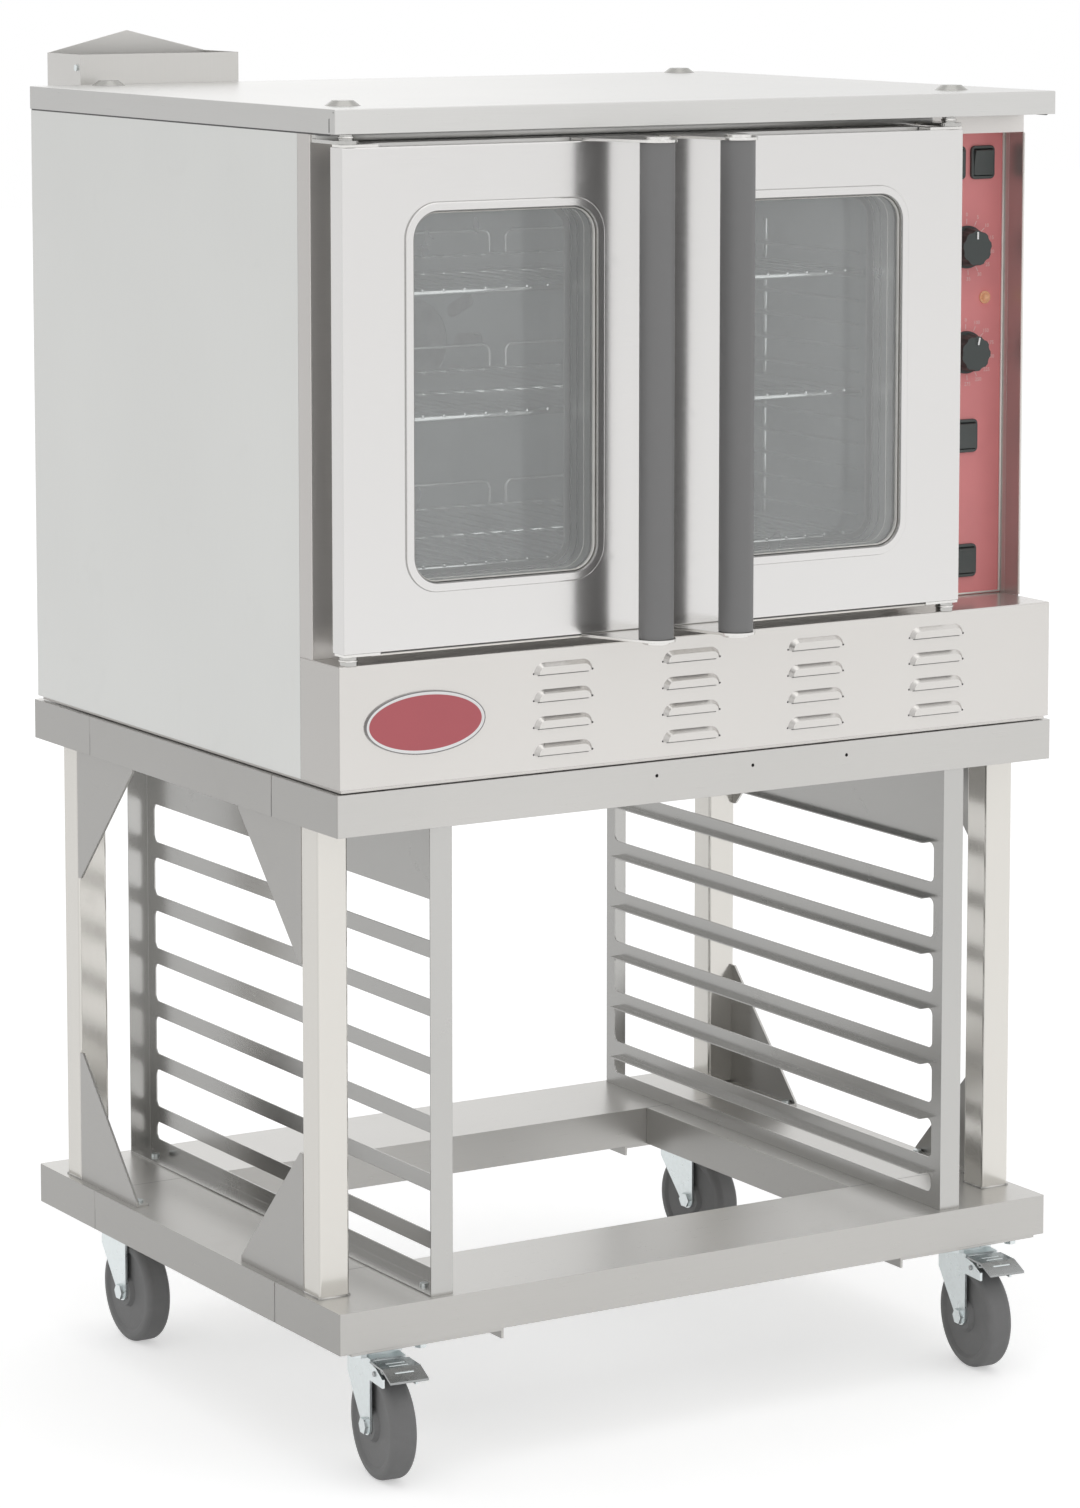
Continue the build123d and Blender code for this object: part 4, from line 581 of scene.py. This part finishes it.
def meshPiece(name, points, faces, material, body, smooth=True, closed=True):
    # a closed piece whose faces come out inwards is turned round
    mesh = bpy.data.meshes.new(name)
    mesh.from_pydata((np.asarray(points) * 0.001).tolist(), [], [tuple(map(int, face)) for face in faces])
    mesh.polygons.foreach_set("use_smooth", np.full(len(mesh.polygons), smooth))
    mesh.materials.append(material)
    mesh.update()
    if closed and enclosed(mesh) < 0:
        mesh.flip_normals()
    piece = bpy.data.objects.new(name, mesh)
    bpy.context.scene.collection.objects.link(piece)
    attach(piece, body)


def tubePiece(name, place, material, body, along=False, smooth=True):
    # place holds x, y and z over a grid whose rows are closed sections; along joins the last row to the first
    points = np.stack(np.broadcast_arrays(*place), axis=-1)
    quads = gridQuads(*points.shape[:2], along)
    meshPiece(name, points.reshape(-1, 3), quads, material, body, smooth)


def manyPieces(name, shape, places, material, body):
    # one small grid of closed sections set down at each place, all joined in one mesh
    starts = np.arange(len(places)) * shape[..., 0].size
    faces = (gridQuads(*shape.shape[:2])[None] + starts[:, None, None]).reshape(-1, 4)
    meshPiece(name, (shape[None] + places[:, None, None]).reshape(-1, 3), faces, material, body)


def roundedLoop(halfWidth, halfHeight, corner, steps=14):
    # outline of a rounded rectangle and the outward direction at each point of it:
    # corner centre plus the corner radius times (cos a, sin a), a running round from 0 to 360 degrees
    angle = np.radians(np.concatenate([np.linspace(q * 90, q * 90 + 90, steps) for q in range(4)]))
    outward = np.stack([np.cos(angle), np.sin(angle)], axis=-1)
    signs = np.repeat(np.array([(1, 1), (-1, 1), (-1, -1), (1, -1)]), steps, axis=0)
    return signs * (halfWidth - corner, halfHeight - corner) + corner * outward, outward


def carriedRound(loop, away, across):
    # a section carried round an outline: outline point plus across along its outward direction
    return (loop[:, None] + away[:, None] * np.asarray(across)[..., None]).transpose(2, 0, 1)


def windowRing(side, word, offset, across, depth, material):
    # a small section carried round a door's window, offset out from its edge
    outline = roundedLoop(*(window[key] + offset for key in ("halfWidth", "halfHeight", "corner")))
    x, z = carriedRound(*outline, across)
    place = (window["x"][side] + x, depth, window["z"] + z)
    tubePiece(side + word, place, material, "door_" + side, along=True)


def thinRod(name, path, radius, material, body, near=0.01):
    # a round wire along straight legs: at each point the centre plus radius times (cos, sin) across the mean
    # direction of the two legs that meet there, drawn to a point within a small share of its end legs
    path = np.asarray(path, dtype=float)
    first, last = path[0] + near * (path[1] - path[0]), path[-1] + near * (path[-2] - path[-1])
    path = np.vstack([path[:1], first, path[1:-1], last, path[-1:]])
    ahead = np.gradient(path, axis=0)
    ahead /= np.linalg.norm(ahead, axis=1, keepdims=True)
    upright = np.abs(ahead[:, 2:]) > 0.9
    sideways = np.cross(ahead, np.where(upright, (1.0, 0.0, 0.0), (0.0, 0.0, 1.0)))
    sideways /= np.linalg.norm(sideways, axis=1, keepdims=True)
    upwards = np.cross(sideways, ahead)
    reach = np.full((len(path), 1, 1), float(radius))
    reach[[0, -1]] *= taper[0, 0]
    turn = circle(10)[:, None]
    points = path[:, None] + reach * (np.cos(turn) * sideways[:, None] + np.sin(turn) * upwards[:, None])
    tubePiece(name, points.transpose(2, 0, 1), material, body)


windowSeal = {"offset": -0.4, "width": 1.8, "rise": 4.4, "back": -375.8}
for side in window["x"]:
    # a half-round seal with its flat back in the glass: across by half its width times (cos - 1),
    # forward by its rise times sin
    across = windowSeal["width"] / 2 * (np.cos(bend) - 1)
    depth = windowSeal["back"] - windowSeal["rise"] * np.sin(bend)
    windowRing(side, "WindowSeal", windowSeal["offset"], across, depth, windowRubber)

edgeLines = {
    # distance out from the window's edge, width, rise, depth of the flat back, material
    "BeadLine": (10.2, 1.0, 0.6, -380.8, paleShadeLine),
    "LipLine": (0.9, 1.2, 0.6, -383.5, jointAndShadeLine),
}
for word, (offset, width, rise, back, material) in edgeLines.items():
    for side in window["x"]:
        # thin half-round lines of painted shade: at the foot of the raised bead and along its inner edge
        windowRing(side, word, offset, width / 2 * np.cos(bend), back - rise * np.sin(bend), material)

cover = {"half": 480.7, "bottom": 1498.0, "top": 1524.0, "front": -375.0, "rear": 378.0, "tab": 12.0}
mitre = {"radius": 2.0, "proud": 0.3, "start": 2.2, "bend": 10.0, "foot": 1.5}
seam = {"half": 478.8, "radius": 1.5, "sunk": 0.6}
for side, word in sides:
    # a rod sunk into the sheet shows as a flat dark line: its width is twice the root of radius squared
    # less depth squared
    edgeX = side * (cover["half"] + mitre["proud"] - mitre["radius"])
    tabY = cover["front"] + cover["tab"]
    mitrePath = [(edgeX, cover["front"] + mitre["start"], cover["top"] - mitre["start"]),
                 (edgeX, tabY, cover["top"] - mitre["bend"]),
                 (edgeX, tabY, cover["bottom"] + mitre["foot"])]
    thinRod("coverMitre" + word, mitrePath, mitre["radius"], shadowLine, "oven")
    seamPath = [(side * seam["half"], y, cover["bottom"] - seam["sunk"]) for y in (tabY, 0.0, cover["rear"])]
    thinRod("coverSeam" + word, seamPath, seam["radius"], shadowLine, "oven")

frameSeam = {
    "radius": 1.5, "sunk": 1.36, "half": 482.5, "foot": 0.5, "middle": 400.0, "inner": 304.5,
    "places": (-224.8, 230.8), "rails": ((157.0, 204.0), (735.0, 782.0)),
}
for order, (low, high) in enumerate(frameSeam["rails"]):
    for row, y in enumerate(frameSeam["places"]):
        for side, word in sides:
            # the joint between a side rail and a cross rail: up the outer face, then in along the top
            outX, topZ = side * (frameSeam["half"] - frameSeam["sunk"]), high - frameSeam["sunk"]
            seamPath = [(outX, y, z) for z in (low + frameSeam["foot"], (low + high) / 2, topZ)]
            seamPath += [(side * x, y, topZ) for x in (frameSeam["middle"], frameSeam["inner"])]
            name = "frameSeam" + str(order) + str(row) + word
            thinRod(name, seamPath, frameSeam["radius"], jointAndShadeLine, "oven")

pedalRib = {
    # distance of each rib from the swivel axis towards the rear, and its height
    "rows": ((-66.0, 140.3), (-76.0, 140.3), (-92.0, 137.17)),
    "along": (-11.4, -10.716, 0.0, 10.716, 11.4), "radius": 1.5, "sunk": 0.9,
    "turn": -6.5, "x": 407.5, "y": -315.0,
}
turnCos, turnSin = math.cos(math.radians(pedalRib["turn"])), math.sin(math.radians(pedalRib["turn"]))
for side, word in sides:
    for row, (back, height) in enumerate(pedalRib["rows"]):
        # a rib in the lighter zinc across the darker pedal, turned about the caster's swivel axis
        ribPath = [(side * pedalRib["x"] + x * turnCos - back * turnSin,
                    pedalRib["y"] + x * turnSin + back * turnCos,
                    height - pedalRib["sunk"]) for x in pedalRib["along"]]
        name = "pedalRib" + str(row) + word
        thinRod(name, ribPath, pedalRib["radius"], zincPlate, "pedal_front_" + word.lower())

louvre = {"x": 60.0, "z": 855.6, "pitchX": 170.0, "pitchZ": 30.25, "columns": 4, "rows": 4, "faceY": -377.0}
columns = louvre["x"] + (np.arange(louvre["columns"]) - (louvre["columns"] - 1) / 2) * louvre["pitchX"]
rows = louvre["z"] + (np.arange(louvre["rows"]) - (louvre["rows"] - 1) / 2) * louvre["pitchZ"]

louvreEnd = {
    "half": 38.4, "drop": 5.6, "radius": 1.6, "facets": 8,
    # depth of the back, then share of the radius and depth of the shoulder, then depth of the top
    "backY": 0.3, "shoulder": 0.6, "shoulderY": -0.25, "topY": -0.3,
}
endX, endZ, end = (grid.ravel() for grid in np.meshgrid(columns, rows - louvreEnd["drop"], [-1, 1]))
endPlaces = np.stack([endX + end * louvreEnd["half"], np.full(len(endX), louvre["faceY"]), endZ], axis=-1)
# a low dark dome at both ends of each louvre, painted shade where the sheet was lanced open:
# rim radius times (cos, sin), a narrower shoulder and one point on top
facets = louvreEnd["facets"]
disc = circle(facets)
rim = louvreEnd["radius"] * np.stack([np.cos(disc), np.zeros(facets), np.sin(disc)], axis=-1)
dome = np.vstack([rim + (0, louvreEnd["backY"], 0),
                  rim * louvreEnd["shoulder"] + (0, louvreEnd["shoulderY"], 0),
                  [(0, louvreEnd["topY"], 0)]])
step = np.arange(facets)
after = (step + 1) % facets
wall = np.stack([step, after, facets + after, facets + step], axis=-1)
crown = np.stack([facets + step, facets + after, np.full(facets, 2 * facets)], axis=-1)
faces = [face + len(dome) * order for order in range(len(endPlaces)) for face in [*wall, *crown, step[::-1]]]
meshPiece("louvreEnds", (dome + endPlaces[:, None]).reshape(-1, 3), faces, shadowLine, "oven", smooth=False)

louvreLip = {"half": 34.0, "point": 1.0, "drop": 7.8, "radius": 0.8, "sunk": 0.5}
# painted shade in the dark mouth of each louvre: a thin rod under its lip, sunk into the sheet, drawn to a
# point at both ends
along = np.array([-louvreLip["half"], louvreLip["point"] - louvreLip["half"],
                  louvreLip["half"] - louvreLip["point"], louvreLip["half"]])[:, None]
swell = louvreLip["radius"] * taper
lipRings = (along, louvreLip["sunk"] + swell * np.cos(disc), swell * np.sin(disc))
mouth = np.stack(np.broadcast_arrays(*lipRings), axis=-1)
lipX, lipZ = (grid.ravel() for grid in np.meshgrid(columns, rows - louvreLip["drop"]))
lipPlaces = np.stack([lipX, np.full(len(lipX), louvre["faceY"]), lipZ], axis=-1)
manyPieces("louvreLips", mouth, lipPlaces, jointAndShadeLine, "oven")

doorHem = {
    "y": -375.0, "spans": {"left": (-440.0, -82.0), "right": (-50.0, 305.0)},
    # height, radius, material
    "lines": {"DoorHem": (932.8, 1.3, paintedHighlightSteel), "HemGap": (935.2, 1.2, shadowLine)},
}
for side, (start, stop) in doorHem["spans"].items():
    for word, (height, radius, material) in doorHem["lines"].items():
        # the return under each door, bright as a painted highlight, and the dark line between it and the
        # skin, a painted shadow
        hemPath = [(x, doorHem["y"], height) for x in (start, (start + stop) / 2, stop)]
        thinRod(side + word, hemPath, radius, material, "door_" + side)

# a bright rod along the foot of the red plate: a painted highlight line
plateFoot = {"x": (371.6, 424.0, 476.4), "y": -279.2, "z": 924.9, "radius": 1.2}
footPath = [(x, plateFoot["y"], plateFoot["z"]) for x in plateFoot["x"]]
thinRod("plateFoot", footPath, plateFoot["radius"], paintedHighlightSteel, "oven")

headSeal = {"x": (-474.0, -473.0, 343.0, 344.0), "y": (-321.0, -316.0), "z": (1487.0, 1497.4), "power": 0.4}
# a soft-cornered strip: a super-ellipse section, the powers of cos and sin with their signs,
# carried from one end to the other
waves = np.cos(circle(16)), np.sin(circle(16))
squareY, squareZ = (np.sign(wave) * np.abs(wave) ** headSeal["power"] for wave in waves)
(lowY, highY), (lowZ, highZ) = headSeal["y"], headSeal["z"]
place = (np.array(headSeal["x"])[:, None],
         (lowY + highY) / 2 + taper * (highY - lowY) / 2 * squareY,
         (lowZ + highZ) / 2 + taper * (highZ - lowZ) / 2 * squareZ)
tubePiece("headSeal", place, linerSteel, "oven")

uprightBead = {
    "radius": 1.5, "levels": (924.2, 924.8, 1473.6, 1474.2),
    "places": {"plateBead": (477.0, -279.2), "frameHem": (478.9, -316.4)},
}
levels = np.array(uprightBead["levels"])[:, None]
for name, (centreX, centreY) in uprightBead["places"].items():
    # a thin upright rod in the pale steel, a painted highlight line: centre plus radius times (cos, sin) at
    # each height, drawn to a point at both ends
    swell, turn = uprightBead["radius"] * taper, circle(12)
    place = (centreX + swell * np.cos(turn), centreY + swell * np.sin(turn), levels)
    tubePiece(name, place, paintedHighlightSteel, "oven")

plinth = {"bottom": 783.0, "top": 786.4, "half": 475.5, "front": -373.0, "rear": 372.0, "thick": 1.2}
path = np.array([(-plinth["half"], plinth["rear"]), (-plinth["half"], plinth["front"]),
                 (plinth["half"], plinth["front"]), (plinth["half"], plinth["rear"])])
inner = path + np.array([(1, 0), (1, 1), (-1, 1), (-1, 0)]) * plinth["thick"]
section = ((path, plinth["bottom"]), (path, plinth["top"]), (inner, plinth["top"]), (inner, plinth["bottom"]))
# a flat strip on edge: the path and its inner copy, each at the bottom and the top height
strip = np.stack([np.column_stack([line, np.full(4, level)]) for line, level in section], axis=1)
tubePiece("plinthStrip", strip.transpose(2, 0, 1), bodySteel, "oven", smooth=False)

weld = {
    "postX": 454.5, "postY": (-296.0, 304.0), "seats": {"Low": 204.4, "High": 734.6},
    "half": 19.0, "corner": 3.0, "bead": 1.5, "ripple": 0.35, "ripples": 46,
}
loop, away = roundedLoop(weld["half"], weld["half"], weld["corner"], steps=36)
size = (weld["bead"] + weld["ripple"] * np.sin(weld["ripples"] * circle(len(loop))))[:, None]
turn = circle(8)
# a bead round a square foot: its radius swells by a sine as it goes round, its centre follows the foot's edge
weldX, weldY = carriedRound(loop, away, size * np.cos(turn))
for level, seat in weld["seats"].items():
    for side, word in sides:
        for row, centreY in enumerate(weld["postY"]):
            place = (side * weld["postX"] + weldX, centreY + weldY, seat + size * np.sin(turn))
            tubePiece("weld" + level + str(row) + word, place, railSteel, "oven", along=True)

dial = {
    "x": 425.0, "y": -278.25, "tickFrom": 27.5, "tickTo": 33.5, "tickWidth": 0.9, "sweep": (0, 300),
    "numberAt": 38.2, "fontSize": 6.21,
    "timer": {"z": 1338.5, "numbers": "0 5 10 15 20 25 30 35 40 45 50 55 60".split()},
    "heat": {"z": 1213.5, "numbers": "0 100 150 175 200 225 250 275 300 325 350 400 450".split()},
}


def flatNumber(text, size):
    # outlines of a number as a flat mesh, centred, in millimetres
    curve = bpy.data.curves.new("number", "FONT")
    curve.body = text
    curve.align_x = "CENTER"
    curve.align_y = "CENTER"
    curve.size = size
    curve.resolution_u = 2
    shape = bpy.data.objects.new("number", curve)
    mesh = bpy.data.meshes.new_from_object(shape)
    flat = np.empty(len(mesh.vertices) * 3)
    mesh.vertices.foreach_get("co", flat)
    faces = [np.array(face.vertices) for face in mesh.polygons]
    bpy.data.objects.remove(shape)
    return flat.reshape(-1, 3)[:, :2], faces


for name in ("timer", "heat"):
    numbers = dial[name]["numbers"]
    angle = np.radians(np.linspace(*dial["sweep"], len(numbers)))
    # each tick is a thin bar along (sin a, cos a), widened along (cos a, -sin a)
    outwards = np.stack([np.sin(angle), np.cos(angle)], axis=-1)
    widened = np.stack([np.cos(angle), -np.sin(angle)], axis=-1) * dial["tickWidth"] / 2
    inner, outer = outwards * dial["tickFrom"], outwards * dial["tickTo"]
    corners = (inner - widened, inner + widened, outer + widened, outer - widened)
    flat = np.stack(corners, axis=1).reshape(-1, 2)
    faces = list(np.arange(len(flat)).reshape(-1, 4))
    for text, direction in zip(numbers, outwards):
        shape, shapeFaces = flatNumber(text, dial["fontSize"])
        faces += [len(flat) + face for face in shapeFaces]
        flat = np.vstack([flat, shape + direction * dial["numberAt"]])
    # the print lies flat on the plate and its faces look along -Y
    x, z = (flat + (dial["x"], dial[name]["z"])).T
    placed = np.column_stack([x, np.full(len(flat), dial["y"]), z])
    meshPiece(name + "Dial", placed, faces, whitePrint, "oven", smooth=False, closed=False)

pointer = {
    "from": 10.4, "to": 19.2, "width": 2.4, "y": (-301.2, -300.7),
    # height of the knob and how far it is turned, in degrees
    "knobs": {"timer": (dial["timer"]["z"], 0.0), "temperature": (dial["heat"]["z"], 13.0)},
}
for name, (height, turned) in pointer["knobs"].items():
    # a flat white bar on the knob's raised pointer, turned clockwise by the knob's own turn
    turnCos, turnSin = math.cos(math.radians(turned)), math.sin(math.radians(turned))
    length = np.array([(pointer["from"],), (pointer["to"],)])
    across = pointer["width"] / 2 * np.array([1, 1, -1, -1])
    depth = np.array(pointer["y"])[[0, 1, 1, 0]]
    place = (dial["x"] + length * turnSin + across * turnCos, depth,
             height + length * turnCos - across * turnSin)
    bar = np.stack(np.broadcast_arrays(*place), axis=-1).reshape(-1, 3)
    caps = [(0, 3, 2, 1), (4, 5, 6, 7)]
    meshPiece(name + "Mark", bar, [*gridQuads(2, 4), *caps], markPrint, name + "_knob", smooth=False)

spacer = {
    "offset": -1.0,
    # depth, radius, material
    "rings": ((-369.5, 0.9, sealRubber), (-355.0, 0.45, paintedHighlightSteel),
              (-341.0, 0.7, sealRubber), (-327.0, 0.9, sealRubber)),
}
for side in window["x"]:
    for order, (depth, radius, material) in enumerate(spacer["rings"]):
        # a thin round bead that runs round the space between the panes; the pale steel one is a painted
        # highlight line
        turn = circle(8)
        windowRing(side, "Spacer" + str(order), spacer["offset"], radius * np.cos(turn),
                   depth + radius * np.sin(turn), material)

rack = {
    "levels": (1008.0, 1176.0, 1316.0), "wires": 24, "half": 337.5, "middle": -66.0,
    "endY": -283.4, "endRise": 2.6, "radius": 3.0,
}
wirePitch = 2 * rack["half"] / (rack["wires"] + 1)
spots = rack["middle"] - rack["half"] + (np.arange(rack["wires"]) + 1) * wirePitch
# welded wire ends on the front rod: small balls, radius times (sin a cos b, cos a, sin a sin b)
polar = np.linspace(0.0, np.pi, 6)[:, None]
spin = circle(8)
ballRings = (np.sin(polar) * np.cos(spin), np.cos(polar), np.sin(polar) * np.sin(spin))
ball = np.stack(np.broadcast_arrays(*ballRings), axis=-1)
for order, level in enumerate(rack["levels"]):
    places = np.stack(np.broadcast_arrays(spots, rack["endY"], level + rack["endRise"]), axis=-1)
    manyPieces("wireEnds" + str(order), ball * rack["radius"], places, rackWire, "oven")

nut = {
    "x": (-71.0, 59.0, 189.0), "z": 766.0,
    # radius and depth of each ring of the profile, from the mouth round the outside and back up the bore
    "radius": (2.3, 4.0, 4.0, 0.05, 0.05, 2.3), "y": (-374.9, -374.9, -366.0, -366.0, -368.0, -368.0),
}
for order, centreX in enumerate(nut["x"]):
    # a blind rivet nut behind each small hole: a tube with a closed end, its mouth facing the hole; it is
    # dark, painted shade inside the hole
    reach, depth = (np.array(nut[key])[:, None] for key in ("radius", "y"))
    turn = circle(12)
    place = (centreX + reach * np.cos(turn), depth, nut["z"] + reach * np.sin(turn))
    tubePiece("rivetNut" + str(order), place, shadowLine, "oven", along=True)

collar = {"x": (-463.5, 331.5), "y": -369.0, "levels": ((928.5, 10.0), (1494.4, 8.0)), "radius": 1.3}
for order, centreX in enumerate(collar["x"]):
    for row, (level, reach) in enumerate(collar["levels"]):
        # a polished ring round the bush: reach plus tube radius times cos, level plus tube radius times sin
        around, tube = circle(32)[:, None], circle(8)
        wide = reach + collar["radius"] * np.cos(tube)
        place = (centreX + np.cos(around) * wide, collar["y"] + np.sin(around) * wide,
                 level + collar["radius"] * np.sin(tube))
        tubePiece("bushCollar" + str(row) + str(order), place, hingeSteel, "oven", along=True)
print("stage: window rings, seams, louvres, beads, welds, dials, racks and collars")
